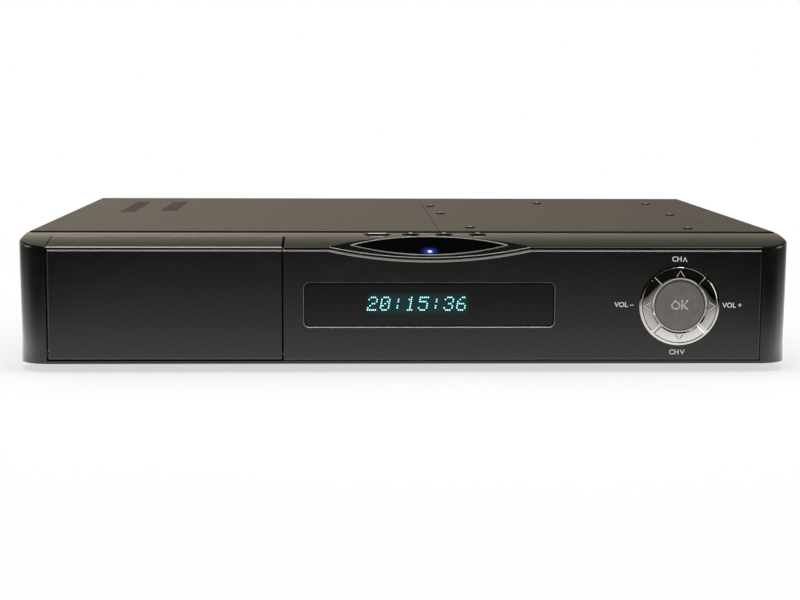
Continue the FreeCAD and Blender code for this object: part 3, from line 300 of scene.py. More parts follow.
def chrome(name="dark_chrome", level=0.62, rough=(0.03, 0.07)):
    tint = (level, level * 0.975, level * 0.94)
    dark = tuple(value * 0.93 for value in tint)
    return mottled(name, dark, tint, rough[0], rough[1], 1200.0, (0.02, 0.00002), metallic=1.0).material


def satin_chrome():
    """Satin warm grey metal of the middle key."""
    return mottled("satin_chrome", (0.19, 0.175, 0.155), (0.24, 0.22, 0.20), 0.5, 0.6, 1800.0,
                   (0.1, 0.00002), metallic=0.6).material


def plated(name="plated_metal", tint=(0.68, 0.66, 0.62)):
    dark = tuple(value * 0.85 for value in tint)
    return mottled(name, dark, tint, 0.18, 0.32, 1500.0, (0.08, 0.00002), metallic=1.0).material


def brushed(name, tint, along):
    made = Nodes(name)
    scale = [4.0 if axis == along else 700.0 for axis in range(3)]
    strokes = made.noise(1.0, 5.0, 0.6, made.stretch(tuple(scale)))
    dark = tuple(value * 0.8 for value in tint)
    made.link(made.blend(strokes, dark, tint), made.shader.inputs["Base Color"])
    made.link(made.spread(strokes, 0.3, 0.7, 0.25, 0.4), made.shader.inputs["Roughness"])
    made.bump(strokes, 0.1, 0.00003)
    made.set(Metallic=1.0)
    return made.material


def circuit_green():
    made = Nodes("circuit_green")
    tracks = made.add("ShaderNodeTexBrick")
    tracks.inputs["Scale"].default_value = 260.0
    tracks.inputs["Mortar Size"].default_value = 0.06
    tracks.inputs["Color1"].default_value = (0.012, 0.10, 0.035, 1)
    tracks.inputs["Color2"].default_value = (0.016, 0.13, 0.045, 1)
    tracks.inputs["Mortar"].default_value = (0.03, 0.22, 0.08, 1)
    made.link(made.coords.outputs["Object"], tracks.inputs["Vector"])
    made.link(tracks.outputs["Color"], made.shader.inputs["Base Color"])
    made.bump(tracks.outputs["Fac"], 0.2, 0.00003)
    made.set(Roughness=0.35)
    return made.material


def foot_rubber():
    return mottled("foot_rubber", (0.012, 0.012, 0.012), (0.022, 0.021, 0.02), 0.65, 0.85, 1800.0,
                   (0.4, 0.00006)).material


def smoked(name="smoked_window"):
    return mottled(name, (0.0008, 0.0007, 0.0008), (0.0012, 0.0011, 0.0012), 0.03, 0.06, 500.0,
                   (0.01, 0.00002), Specular_IOR_Level=0.4)


GLOW_X = (-16.5 * MM, 27.5 * MM)
GLOW_Z = TOP - 31.2 * MM
GLOW_HALF_HEIGHT = 3.4 * MM
GLOW_FADE = 3.2 * MM


def display_window_look():
    """Smoked window with a faint glow round the lit characters."""
    made = Nodes("display_window_look")
    place = made.axes()
    middle = (GLOW_X[0] + GLOW_X[1]) / 2
    half = (GLOW_X[1] - GLOW_X[0]) / 2
    across = made.math("ABSOLUTE", made.math("SUBTRACT", place["X"], middle), 0.0)
    beyond_x = made.math("MAXIMUM", made.math("SUBTRACT", across, half), 0.0)
    updown = made.math("ABSOLUTE", made.math("SUBTRACT", place["Z"], GLOW_Z), 0.0)
    beyond_z = made.math("MAXIMUM", made.math("SUBTRACT", updown, GLOW_HALF_HEIGHT), 0.0)
    far = made.math("ADD", beyond_x, beyond_z)
    glow = made.spread(far, 0.0, GLOW_FADE, 1.0, 0.0)
    glow = made.math("MULTIPLY", glow, glow)
    patches = made.noise(700.0, 2.0)
    strength = made.math("MULTIPLY", glow, made.spread(patches, 0.3, 0.7, 0.75, 1.0))
    lit = made.blend(strength, (0.0, 0.0, 0.0), (0.0, 0.022, 0.026))
    made.link(lit, made.shader.inputs["Emission Color"])
    base = made.blend(patches, (0.0016, 0.0016, 0.0018), (0.0024, 0.0024, 0.0026))
    made.link(base, made.shader.inputs["Base Color"])
    made.bump(made.noise(300.0), 0.01, 0.00002)
    made.set(Roughness=0.12, Specular_IOR_Level=0.34, Emission_Strength=1.0)
    return made.material


def glowing(name, colour, core, strength):
    made = Nodes(name)
    grain = made.noise(4000.0, 2.0)
    shade = made.blend(grain, tuple(value * 0.8 for value in colour), core)
    made.link(shade, made.shader.inputs["Emission Color"])
    made.link(shade, made.shader.inputs["Base Color"])
    made.set(Emission_Strength=strength, Roughness=0.4)
    return made.material


LED_LOW, LED_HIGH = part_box("status_led")
LED_TIP = Vector((0.0, 1.37 * MM, -0.61 * MM))
LED = Vector(((LED_LOW.x + LED_HIGH.x) / 2, LED_LOW.y, LED_HIGH.z)) + LED_TIP
LED_CORE = 1.7 * MM
LED_HALO = 6.0 * MM


def near_led(made, reach):
    """1 at the lamp's centre, 0 beyond reach."""
    away = made.add("ShaderNodeVectorMath", operation="DISTANCE")
    made.link(made.coords.outputs["Object"], away.inputs[0])
    away.inputs[1].default_value = LED
    return made.spread(away.outputs["Value"], 0.0, reach, 1.0, 0.0)


def led_look():
    made = Nodes("led_look")
    near = near_led(made, LED_CORE)
    made.link(made.blend(near, (0.03, 0.08, 0.9), (0.85, 0.93, 1.0)), made.shader.inputs["Emission Color"])
    strength = made.math("MULTIPLY", made.math("MULTIPLY", near, near), 5.0)
    made.link(strength, made.shader.inputs["Emission Strength"])
    base = made.blend(made.noise(2000.0), (0.02, 0.03, 0.1), (0.03, 0.04, 0.14))
    made.link(base, made.shader.inputs["Base Color"])
    made.set(Roughness=0.2)
    return made.material


def lens_look():
    """Smoked lens with the lamp's blue halo in it."""
    made = smoked("lens_look")
    near = near_led(made, LED_HALO)
    halo = made.math("MULTIPLY", made.math("MULTIPLY", near, near), near)
    made.link(made.blend(halo, (0.0, 0.0, 0.0), (0.06, 0.14, 1.0)), made.shader.inputs["Emission Color"])
    made.set(Emission_Strength=1.0)
    return made.material


def print_white():
    return mottled("print_white", (0.74, 0.74, 0.73), (0.86, 0.86, 0.85), 0.45, 0.6, 3000.0,
                   (0.1, 0.00001)).material


PHONO_SPAN = (15.0 * MM, 51.0 * MM)


def phono_colours():
    """Yellow, white and red socket rings by their height, black behind the rear wall."""
    made = Nodes("phono_colours")
    place = made.axes()
    ramp = made.add("ShaderNodeValToRGB")
    made.link(made.spread(place["Z"], *PHONO_SPAN, 0.0, 1.0), ramp.inputs["Fac"])
    ramp.color_ramp.interpolation = "CONSTANT"
    ramp.color_ramp.elements[0].color = (0.45, 0.02, 0.015, 1)
    ramp.color_ramp.elements[1].position = 0.333
    ramp.color_ramp.elements[1].color = (0.62, 0.6, 0.56, 1)
    third = ramp.color_ramp.elements.new(0.667)
    third.color = (0.6, 0.42, 0.02, 1)
    outside = made.math("GREATER_THAN", place["Y"], REAR + 0.2 * MM)
    base = made.blend(outside, (0.02, 0.02, 0.02), ramp.outputs["Color"])
    made.link(base, made.shader.inputs["Base Color"])
    made.bump(made.noise(2000.0), 0.1, 0.00002)
    made.set(Roughness=0.35)
    return made.material


def set_material(obj, material):
    obj.data.materials.clear()
    obj.data.materials.append(material)


GLOSS = gloss_black().material
CLEAR_FACED_WITH_HIGHLIGHTS = clear_faced_highlighted()
MATTE = matte_black()
SHEET = sheet_metal()
CHROME = chrome()
SATIN = satin_chrome()
PLATED = plated()
SMOKED = smoked().material
PRINT = print_white()
SCREW = plated("screw_metal", (0.2, 0.19, 0.18))
# Pale silver that paints highlight lines: the lens rim is a real part whose pale colour is a painted
# highlight, and the beads along the bezel's edges are painted highlight lines.
HIGHLIGHT_SILVER = mottled("painted_highlight_silver", (0.42, 0.41, 0.38), (0.5, 0.49, 0.46), 0.3, 0.4, 2500.0,
                 (0.1, 0.00001), metallic=0.4).material
BLACKENED = plated("blackened_steel", (0.05, 0.05, 0.05))
# Near-black with weak reflection: a painted dark reflection on the screw heads and top key caps.
DARK_REFLECTION_BLACK = mottled("screw_black", (0.003, 0.003, 0.003), (0.006, 0.006, 0.006), 0.3, 0.4, 2500.0,
                      (0.1, 0.00001), Specular_IOR_Level=0.08).material
# Pale metal that paints a highlight at the centre of each screw head and key cap.
GLINT_METAL = mottled("painted_glint", (0.7, 0.69, 0.66), (0.86, 0.85, 0.82), 0.3, 0.4, 2500.0,
                      (0.1, 0.00001)).material
# A darker copy of the key chrome on the up, left and right keys: painted shade, so they read darker than the
# down key.
SHADED_PAD_CHROME = chrome("pad_chrome_painted_shade", 0.5, (0.03, 0.06))
RUBBER = foot_rubber()
GREEN = circuit_green()
PAINT = cover_paint()
REAR_PAINT = rear_paint()
CAST = brushed("drive_casting", (0.5, 0.5, 0.52), 0)
FIN = brushed("heat_sink_metal", (0.55, 0.55, 0.57), 2)
EPOXY = matte_black("chip_epoxy", 0.012)
FERRITE = mottled("ferrite", (0.05, 0.045, 0.04), (0.09, 0.08, 0.07), 0.5, 0.7, 900.0,
                  (0.3, 0.0001)).material
SLEEVE = mottled("capacitor_sleeve", (0.01, 0.014, 0.05), (0.014, 0.02, 0.07), 0.25, 0.35, 900.0,
                 (0.05, 0.00003)).material

FINISH_OF = {
    "top_cover": PAINT,
    "drive_lid": PAINT,
    "rear_panel": REAR_PAINT,
    "base_pan": SHEET,
    "drive_bracket": SHEET,
    "module_cage_lower": SHEET,
    "module_cage_upper": SHEET,
    "tuner_cans": SHEET,
    "front_bezel": GLOSS,
    "front_panel": CLEAR_FACED_WITH_HIGHLIGHTS,
    "flap_door": CLEAR_FACED_WITH_HIGHLIGHTS,
    "slot_plate": MATTE,
    "module_ejector_lower": MATTE,
    "module_ejector_upper": MATTE,
    "card_readers": MATTE,
    "fan_frame": MATTE,
    "fan_rotor": MATTE,
    "mains_inlet": MATTE,
    "mains_switch_body": MATTE,
    "mains_rocker": MATTE,
    "scart_sockets": MATTE,
    "optical_port": MATTE,
    "infrared_receiver": SMOKED,
    "door_catch": MATTE,
    "key_frame": CHROME,
    "up_key": SHADED_PAD_CHROME,
    "down_key": CHROME,
    "left_key": SHADED_PAD_CHROME,
    "right_key": SHADED_PAD_CHROME,
    "ok_key": SATIN,
    # The lens rim's pale silver is a painted highlight.
    "lens_rim": HIGHLIGHT_SILVER,
    "standby_button": CHROME,
    "menu_button": CHROME,
    "exit_button": CHROME,
    "mode_button": CHROME,
    "display_window": display_window_look(),
    "status_lens": lens_look(),
    "display_module": SMOKED,
    "status_led": led_look(),
    "front_board": GREEN,
    "top_key_board": GREEN,
    "main_board": GREEN,
    "power_board": GREEN,
    "board_chips": EPOXY,
    "tact_switches": EPOXY,
    "heat_sinks": FIN,
    "hard_drive": CAST,
    "antenna_connectors": PLATED,
    "usb_ports": PLATED,
    "hdmi_port": PLATED,
    "network_port": PLATED,
    "serial_port": PLATED,
    "door_strike": BLACKENED,
    "door_pins": BLACKENED,
    "lid_screws": SCREW,
    "case_screws": SCREW,
    "power_transformer": FERRITE,
    "power_capacitors": SLEEVE,
    "rubber_feet": RUBBER,
    "phono_sockets": phono_colours(),
}
for node_name, finish in FINISH_OF.items():
    set_material(NODES[node_name], finish)


# Mesh helpers

def new_piece(name, mesh, material, body, smooth=True):
    obj = bpy.data.objects.new(name, mesh)
    bpy.context.scene.collection.objects.link(obj)
    set_material(obj, material)
    for polygon in mesh.polygons:
        polygon.use_smooth = smooth
    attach(obj, body)
    return obj


def mesh_from(name, points, faces):
    mesh = bpy.data.meshes.new(name)
    mesh.from_pydata(points, [], faces)
    mesh.update()
    return mesh


def closed(mesh, weld=0.0):
    """Weld and close a mesh where asked, and turn its faces outward."""
    shape = bmesh.new()
    shape.from_mesh(mesh)
    if weld:
        bmesh.ops.remove_doubles(shape, verts=shape.verts, dist=weld)
        bmesh.ops.holes_fill(shape, edges=shape.edges)
    bmesh.ops.recalc_face_normals(shape, faces=shape.faces)
    shape.to_mesh(mesh)
    shape.free()
    return mesh


# The lit characters: a 5 by 7 dot matrix of plain digits

DIGITS = {
    "0": ("01110", "10001", "10011", "10101", "11001", "10001", "01110"),
    "1": ("00100", "01100", "00100", "00100", "00100", "00100", "01110"),
    "2": ("01110", "10001", "00001", "00110", "01000", "10000", "11111"),
    "3": ("01110", "10001", "00001", "00110", "00001", "10001", "01110"),
    "4": ("00010", "00110", "01010", "10010", "11111", "00010", "00010"),
    "5": ("11111", "10000", "11110", "00001", "00001", "10001", "01110"),
    "6": ("00110", "01000", "10000", "11110", "10001", "10001", "01110"),
    "8": ("01110", "10001", "10001", "01110", "10001", "10001", "01110"),
    ":": ("00000", "00100", "00100", "00000", "00100", "00100", "00000"),
}
CLOCK = "20:15:36"
CLOCK_LEFT = -18.1 * MM
CLOCK_LOW = TOP - 34.2 * MM
CLOCK_FACE = FRONT + 0.27 * MM
CHARACTER_ROWS = 7
CHARACTER_PITCH = 5.93 * MM
DOT_PITCH_X = 0.92 * MM
DOT_PITCH_Z = 0.98 * MM
DOT_RADIUS = 0.3696 * MM
DOT_SIDES = 8
SLANT = 0.17


def display_characters():
    points = []
    faces = []
    for index, character in enumerate(CLOCK):
        for row, line in enumerate(DIGITS[character]):
            for column, mark in enumerate(line):
                if mark == "0":
                    continue
                up = (CHARACTER_ROWS - 1 - row) * DOT_PITCH_Z
                across = index * CHARACTER_PITCH + column * DOT_PITCH_X + up * SLANT
                start = len(points)
                for corner in range(DOT_SIDES):
                    angle = (corner + 0.5) * 2 * math.pi / DOT_SIDES
                    points.append((CLOCK_LEFT + across + DOT_RADIUS * math.cos(angle), CLOCK_FACE,
                                   CLOCK_LOW + up + DOT_RADIUS * math.sin(angle)))
                faces.append(tuple(range(start, start + DOT_SIDES)))
    mesh = mesh_from("display_characters", points, faces)
    lit = glowing("character_glow", (0.22, 0.85, 0.85), (0.45, 1.0, 1.0), 1.1)
    return new_piece("display_characters", mesh, lit, "root", False)


display_characters()


# Printed marks

INK = 0.01 * MM
UPRIGHT = Matrix.Rotation(math.radians(90), 4, "X")


def text_mesh(name, text, size, place, weight, extrude, bevel=0.0):
    """Mesh of a centred word laid at a placement matrix."""
    data = bpy.data.curves.new(name, "FONT")
    data.body = text
    data.size = size
    data.align_x = "CENTER"
    data.align_y = "CENTER"
    data.extrude = extrude
    data.offset = weight
    data.resolution_u = 4
    if bevel:
        data.bevel_depth = bevel
        data.bevel_resolution = 2
    holder = bpy.data.objects.new(name, data)
    bpy.context.scene.collection.objects.link(holder)
    bpy.context.view_layer.update()
    mesh = bpy.data.meshes.new_from_object(holder)
    bpy.data.objects.remove(holder)
    mesh.transform(place)
    return mesh


def words(name, text, size, place, weight):
    """Flat printed text."""
    return new_piece(name, text_mesh(name, text, size, place, weight, INK), PRINT, "root", False)


def lettering(name, text, size, x, z):
    """Printed text on the front panel, centred on a point."""
    place = Matrix.Translation((x, FRONT - 1.1 * INK, z)) @ UPRIGHT
    return words(name, text, size, place, LABEL_WEIGHT)


def chevron_mark(name, x, z, turn):
    """Printed arrow head pointing up, turned about its centre."""
    half = CHEVRON_WIDTH / 2
    foot = -CHEVRON_HEIGHT / 2
    inner = half - CHEVRON_THICK
    outline = [
        (-half, foot), (0, -foot), (half, foot),
        (inner, foot), (0, -foot - CHEVRON_NOTCH), (-inner, foot),
    ]
    angle = math.radians(turn)
    points = []
    for level in (FRONT - 2 * INK, FRONT):
        for u, w in outline:
            points.append((x + u * math.cos(angle) + w * math.sin(angle), level,
                           z - u * math.sin(angle) + w * math.cos(angle)))
    count = len(outline)
    faces = [tuple(range(count)), tuple(reversed(range(count, 2 * count)))]
    for index in range(count):
        after = (index + 1) % count
        faces.append((index, index + count, after + count, after))
    return new_piece(name, mesh_from(name, points, faces), PRINT, "root", False)


# Places of the printed marks round the key pad: across and up from its centre, in millimetres

PAD_LABELS = (
    ("label_volume_down", "VOL –", -26.0, 0.2),
    ("label_volume_up", "VOL +", 24.9, -0.1),
    ("label_channel_up", "CH", -1.6, 21.6),
    ("label_channel_down", "CH", -2.0, -22.2),
)
PAD_CHEVRONS = (("mark_channel_up", 2.2, 21.6, 0.0), ("mark_channel_down", 1.9, -22.2, 180.0))
LABEL_SIZE = 3.3 * MM
LABEL_WEIGHT = 0.05 * MM
CHEVRON_WIDTH = 2.2 * MM
CHEVRON_HEIGHT = 2.3 * MM
CHEVRON_THICK = 0.45 * MM
CHEVRON_NOTCH = 1.9 * CHEVRON_THICK

for label, word, across, up in PAD_LABELS:
    lettering(label, word, LABEL_SIZE, PAD_X + across * MM, PAD_Z + up * MM)
for label, across, up, turn in PAD_CHEVRONS:
    chevron_mark(label, PAD_X + across * MM, PAD_Z + up * MM, turn)


# Fine pale beads where the bezel's edges are rounded off: painted highlight lines

LENS_LOW, LENS_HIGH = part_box("status_lens")
SCOOP_X = (LENS_LOW.x + LENS_HIGH.x) / 2
SCOOP_HALF = 47.25 * MM
SCOOP_LOW = TOP - 9.8 * MM
SCOOP_STEPS = 16
SCOOP_REACH = 0.985
LIP_RADIUS = 0.2 * MM
LEAF_RADIUS = 0.16 * MM
LINE_SIDES = 6


def highlight_bead(name, path, body, radius):
    """Thin round pale bead along a path: a painted highlight line."""
    points = []
    faces = []
    for index, spot in enumerate(path):
        before = path[max(index - 1, 0)]
        after = path[min(index + 1, len(path) - 1)]
        along = (Vector(after) - Vector(before)).normalized()
        side = along.cross(Vector((0, 1, 0))).normalized()
        other = side.cross(along)
        for corner in range(LINE_SIDES):
            angle = 2 * math.pi * corner / LINE_SIDES
            points.append(Vector(spot) + (side * math.cos(angle) + other * math.sin(angle)) * radius)
    for index in range(len(path) - 1):
        for corner in range(LINE_SIDES):
            after = (corner + 1) % LINE_SIDES
            faces.append((index * LINE_SIDES + corner, index * LINE_SIDES + after,
                          (index + 1) * LINE_SIDES + after, (index + 1) * LINE_SIDES + corner))
    last = (len(path) - 1) * LINE_SIDES
    faces.append(tuple(reversed(range(LINE_SIDES))))
    faces.append(tuple(range(last, last + LINE_SIDES)))
    return new_piece(name, mesh_from(name, points, faces), HIGHLIGHT_SILVER, body)


def bezel_height(y):
    """Height of the fascia's convex top at a depth."""
    behind = (SEAM - y) / MM
    return TOP - (0.5 + 0.0587 * behind + 0.00258 * behind * behind) * MM


def facet_highlight_line():
    """Painted highlight line along the rounded lower edge of the scooped facet."""
    drop = bezel_height(FRONT) - SCOOP_LOW
    path = []
    for step in range(2 * SCOOP_STEPS + 1):
        share = (step / SCOOP_STEPS - 1) * SCOOP_REACH
        path.append((SCOOP_X + share * SCOOP_HALF, FRONT + 0.12 * MM,
                     SCOOP_LOW + drop * share * share + 0.05 * MM))
    highlight_bead("facet_highlight_line", path, "root", LIP_RADIUS)


def leaf_line():
    """Painted highlight line along the rounded back edge of the door's wrapped leaf."""
    low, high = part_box("flap_door")
    height = bezel_height(high.y) - 0.03 * MM
    path = [(x, high.y - 0.12 * MM, height) for x in (low.x + 0.5 * MM, high.x - 0.3 * MM)]
    highlight_bead("door_leaf_highlight_line", path, "door", LEAF_RADIUS)


facet_highlight_line()
leaf_line()


# Domed keys and screws, turned as profiles

TURN_STEPS = 48
SCREW_STEPS = 32
CROWN_STEPS = 8
WELD = 1e-7


def turned(name, profile, place, material, body, steps=TURN_STEPS):
    """Surface of revolution round an upright axis through place, from (radius, height) pairs."""
    points = []
    faces = []
    count = len(profile)
    for step in range(steps):
        angle = 2 * math.pi * step / steps
        for radius, height in profile:
            points.append((place.x + radius * math.cos(angle), place.y + radius * math.sin(angle),
                           place.z + height))
    for step in range(steps):
        after = (step + 1) % steps
        for index in range(count - 1):
            faces.append((step * count + index, after * count + index,
                          after * count + index + 1, step * count + index + 1))
    return new_piece(name, closed(mesh_from(name, points, faces), WELD), material, body)


def crown_profile(radius, rise, skirt):
    """Half section of a domed cap: upright skirt and round crown."""
    ball = (radius * radius + rise * rise) / (2 * rise)
    widest = math.asin(radius / ball)
    profile = [(0.0, -skirt), (radius, -skirt)]
    for step in range(CROWN_STEPS + 1):
        angle = widest * (1 - step / CROWN_STEPS)
        profile.append((ball * math.sin(angle), ball * math.cos(angle) - (ball - rise)))
    return profile


def carve(obj, cutter):
    """Cut one mesh out of another for good."""
    change = obj.modifiers.new("carve", "BOOLEAN")
    change.operation = "DIFFERENCE"
    change.object = cutter
    change.solver = "EXACT"
    change.use_self = True
    bpy.context.view_layer.update()
    ready = obj.evaluated_get(bpy.context.evaluated_depsgraph_get())
    mesh = bpy.data.meshes.new_from_object(ready)
    obj.modifiers.remove(change)
    old = obj.data
    obj.data = mesh
    bpy.data.meshes.remove(old)
    bpy.data.objects.remove(cutter)


def cross_cutter(place, reach, width, low, high, turn):
    """Crossed bars that cut the recess of a screw."""
    mesh = bpy.data.meshes.new("cross_cutter")
    shape = bmesh.new()
    size = Matrix.Diagonal((2 * reach, width, high - low, 1.0))
    spot = Matrix.Translation((place.x, place.y, place.z + (low + high) / 2))
    for angle in (turn, turn + math.pi / 2):
        bmesh.ops.create_cube(shape, size=1.0, matrix=spot @ Matrix.Rotation(angle, 4, "Z") @ size)
    shape.to_mesh(mesh)
    shape.free()
    obj = bpy.data.objects.new("cross_cutter", mesh)
    bpy.context.scene.collection.objects.link(obj)
    return obj


# Lid screws: to the right of the middle and behind the seam, in millimetres

LID_SCREWS = ((20.8, 173.1), (23.6, 114.7), (33.1, 20.7), (86.0, 197.0),
              (150.4, 193.0), (148.6, 106.2), (140.4, 16.1))
SCREW_HEAD = 3.0 * MM
RECESS_REACH = 1.5 * MM
RECESS_WIDTH = 0.4 * MM
# Radius of the pale disc that paints the highlight round each recess.
GLINT_DISC_RADIUS = 1.15 * MM
SKIN = 0.02 * MM


def lid_screw_heads():
    """Black domed heads with a crossed recess, their black a painted dark reflection, with a pale disc round
    the recess as a painted highlight.
    """
    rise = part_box("lid_screws")[1].z - TOP
    dome = crown_profile(SCREW_HEAD, rise, 0.0)
    black = [(radius, height - SKIN) for radius, height in dome]
    screw_glint = [(min(radius, GLINT_DISC_RADIUS), max(height, rise * 0.7)) for radius, height in dome]
    for index, (x, behind) in enumerate(LID_SCREWS):
        place = Vector((x * MM, SEAM + behind * MM, TOP))
        for part, profile, material in (("", black, DARK_REFLECTION_BLACK), ("_bright", screw_glint, GLINT_METAL)):
            head = turned(f"lid_screw_{index + 1}{part}", profile, place, material, "root", SCREW_STEPS)
            carve(head, cross_cutter(place, RECESS_REACH, RECESS_WIDTH, rise * 0.35, rise * 2, 0.3 + index))
            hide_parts("lid_screws")


KEY_RADIUS = 4.0 * MM
KEY_RISE = 1.1 * MM
KEY_SKIRT = 3.8 * MM
PILL_RADIUS = 2.8 * MM
# Radius and foot of the pale disc that paints the highlight on each key's crown.
CROWN_GLINT_RADIUS = 1.3 * MM
CROWN_GLINT_FOOT = KEY_RISE * 0.75


def top_keys():
    """Dark domed caps, their darkness a painted dark reflection, each with a pale disc on its crown as a
    painted highlight; the standby key's are drawn out into a pill.
    """
    for node in ("standby_button", "menu_button", "exit_button", "mode_button"):
        low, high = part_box(node)
        middle = (low + high) / 2
        flange = (high.x - low.x) / 2 - (high.y - low.y) / 2
        radius = PILL_RADIUS if node == "standby_button" else KEY_RADIUS
        place = Vector((0, middle.y, high.z - KEY_RISE))
        dome = crown_profile(radius, KEY_RISE - SKIN, KEY_SKIRT)
        key_glint = [(min(across, CROWN_GLINT_RADIUS), max(height + SKIN, CROWN_GLINT_FOOT)) for across, height in dome[1:]]
        key_glint.insert(0, (0.0, CROWN_GLINT_FOOT))
        for part, profile, material in (("_cap", dome, DARK_REFLECTION_BLACK), ("_inlay", key_glint, GLINT_METAL)):
            cap = turned(node + part, profile, place, material, node)
            for vertex in cap.data.vertices:
                lean = 0 if abs(vertex.co.x) < 1e-6 else math.copysign(1, vertex.co.x)
                vertex.co.x += middle.x + lean * flange
            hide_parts(node)


TOP_LABELS = ("standby", "menu", "exit", "mode")
TOP_LABEL_Y = SEAM - 11.9 * MM
TOP_LABEL_SLOPE = math.radians(7.0)
TOP_LABEL_SIZE = 1.5 * MM
TOP_LABEL_WEIGHT = 0.04 * MM


def top_labels():
    """Tiny words printed on the bezel in front of its keys."""
    height = bezel_height(TOP_LABEL_Y) + 1.5 * INK
    slope = Matrix.Rotation(TOP_LABEL_SLOPE, 4, "X")
    for word in TOP_LABELS:
        low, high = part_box(word + "_button")
        place = Matrix.Translation(((low.x + high.x) / 2, TOP_LABEL_Y, height)) @ slope
        words("label_" + word, word.upper(), TOP_LABEL_SIZE, place, TOP_LABEL_WEIGHT)


lid_screw_heads()
top_keys()
top_labels()


# Ridges and letters on the key pad

KEY_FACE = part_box("up_key")[0].y
CROWN_START = 13.0 * MM
CROWN_RADIUS = 20.0 * MM


def crown_depth(x, z):
    """Front surface of the sector keys at a place on the pad."""
    past = max(math.hypot(x - PAD_X, z - PAD_Z) - CROWN_START, 0.0)
    return KEY_FACE + CROWN_RADIUS - math.sqrt(CROWN_RADIUS ** 2 - past ** 2)


RIDGE_SECTION = ((1.0, -0.3), (0.8, 0.55), (0.0, 1.0), (-0.8, 0.55), (-1.0, -0.3))


def ridge(name, path, wide, high, body, step=0.0):
    """Raised rounded line that follows a path over the crowned keys, or step behind them."""
    sections = []
    for index, (x, z) in enumerate(path):
        before = path[max(index - 1, 0)]
        after = path[min(index + 1, len(path) - 1)]
        along = Vector((after[0] - before[0], after[1] - before[1])).normalized()
        across = Vector((-along.y, along.x)) * wide / 2
        ring = []
        for share, lift in RIDGE_SECTION:
            u = x + across.x * share
            w = z + across.y * share
            ring.append((u, crown_depth(u, w) + step - high * lift, w))
        sections.append(ring)
    count = len(sections[0])
    points = [point for ring in sections for point in ring]
    faces = [tuple(range(count)), tuple(reversed(range(len(points) - count, len(points))))]
    for index in range(len(sections) - 1):
        for side in range(count):
            after = (side + 1) % count
            faces.append((index * count + side, index * count + after,
                          (index + 1) * count + after, (index + 1) * count + side))
    return new_piece(name, closed(mesh_from(name, points, faces)), CHROME, body, False)


# Half of the raised arrow head on the up key, from the pad's centre in millimetres

ARROW_HALF = ((-1.9, 13.75), (-1.25, 14.7), (-0.6, 15.65))
ARROW_POINT = (0.0, 16.5)
ARROW_WIDE = 0.7 * MM
ARROW_HIGH = 0.22 * MM


def key_chevrons():
    """An arrow head on each outer key, pointing away from the middle."""
    outline = [*ARROW_HALF, ARROW_POINT, *((-u, w) for u, w in reversed(ARROW_HALF))]
    for key, turn in (("up_key", 0), ("right_key", 90), ("down_key", 180), ("left_key", 270)):
        angle = math.radians(turn)
        path = []
        for u, w in outline:
            path.append((PAD_X + (u * math.cos(angle) + w * math.sin(angle)) * MM,
                         PAD_Z + (-u * math.sin(angle) + w * math.cos(angle)) * MM))
        ridge(key + "_arrow", path, ARROW_WIDE, ARROW_HIGH, key)


FRAME_STEP = 0.45 * MM
SECTOR_OUTER = 17.4 * MM
SECTOR_INNER = 13.1 * MM
BEAD_INSET = 0.35 * MM
SPOKE_CLEAR = 0.95 * MM
BEAD_WIDE = 0.5 * MM
BEAD_HIGH = 0.3 * MM
BEAD_STEPS = 8


def frame_beads():
    """Fine raised lines round every opening of the key frame."""
    for quarter in range(4):
        middle = math.pi / 2 * quarter
        corner = []
        for radius, bend in ((SECTOR_OUTER + BEAD_INSET, 1), (SECTOR_INNER - BEAD_INSET, -1)):
            half = math.pi / 4 - SPOKE_CLEAR / radius
            for step in range(2 * BEAD_STEPS + 1):
                angle = middle + bend * half * (step / BEAD_STEPS - 1)
                corner.append((PAD_X + radius * math.cos(angle), PAD_Z + radius * math.sin(angle)))
        corner.append(corner[0])
        ridge(f"key_frame_line_{quarter + 1}", corner, BEAD_WIDE, BEAD_HIGH, "root", FRAME_STEP)


OK_SIZE = 5.6 * MM
OK_WEIGHT = 0.07 * MM
OK_RISE = 0.22 * MM


def ok_letters():
    """Raised rounded letters on the middle key."""
    place = Matrix.Translation((PAD_X, OK_LOW.y, PAD_Z)) @ UPRIGHT
    mesh = text_mesh("ok_letters", "OK", OK_SIZE, place, OK_WEIGHT, OK_RISE / 8, OK_RISE * 0.6)
    new_piece("ok_letters", mesh, CHROME, "ok_key", False)


key_chevrons()
frame_beads()
ok_letters()


# Stage: pale table, a grey studio dome that only reflections see, and soft lamps

STAGE_HALF = 6.0
SHEEN_REACH = 0.28
SHEEN_LEVEL = 1.32
CORNER_REACH = 0.07
FLANK_REACH = 0.2
FLANK_LEVEL = 3.2
SHEEN_LIFT = 0.0002
TABLE_TINT = (1.0, 0.99, 0.97)
WALL_TINT = (1.0, 0.88, 0.72)
DARK_WALL = 0.012
DOME_RADIUS = 4.0
FADE_NEAR = 0.28
FADE_FAR = 0.62
FADE_SHARE = 0.62


def stage_object(name, mesh, material):
    obj = bpy.data.objects.new(name, mesh)
    bpy.context.scene.collection.objects.link(obj)
    set_material(obj, material)
    return obj


def plane(name, x_half, near, far, material):
    corners = [(-x_half, near, 0), (x_half, near, 0), (x_half, far, 0), (-x_half, far, 0)]
    return stage_object(name, mesh_from(name, corners, [(0, 1, 2, 3)]), material)


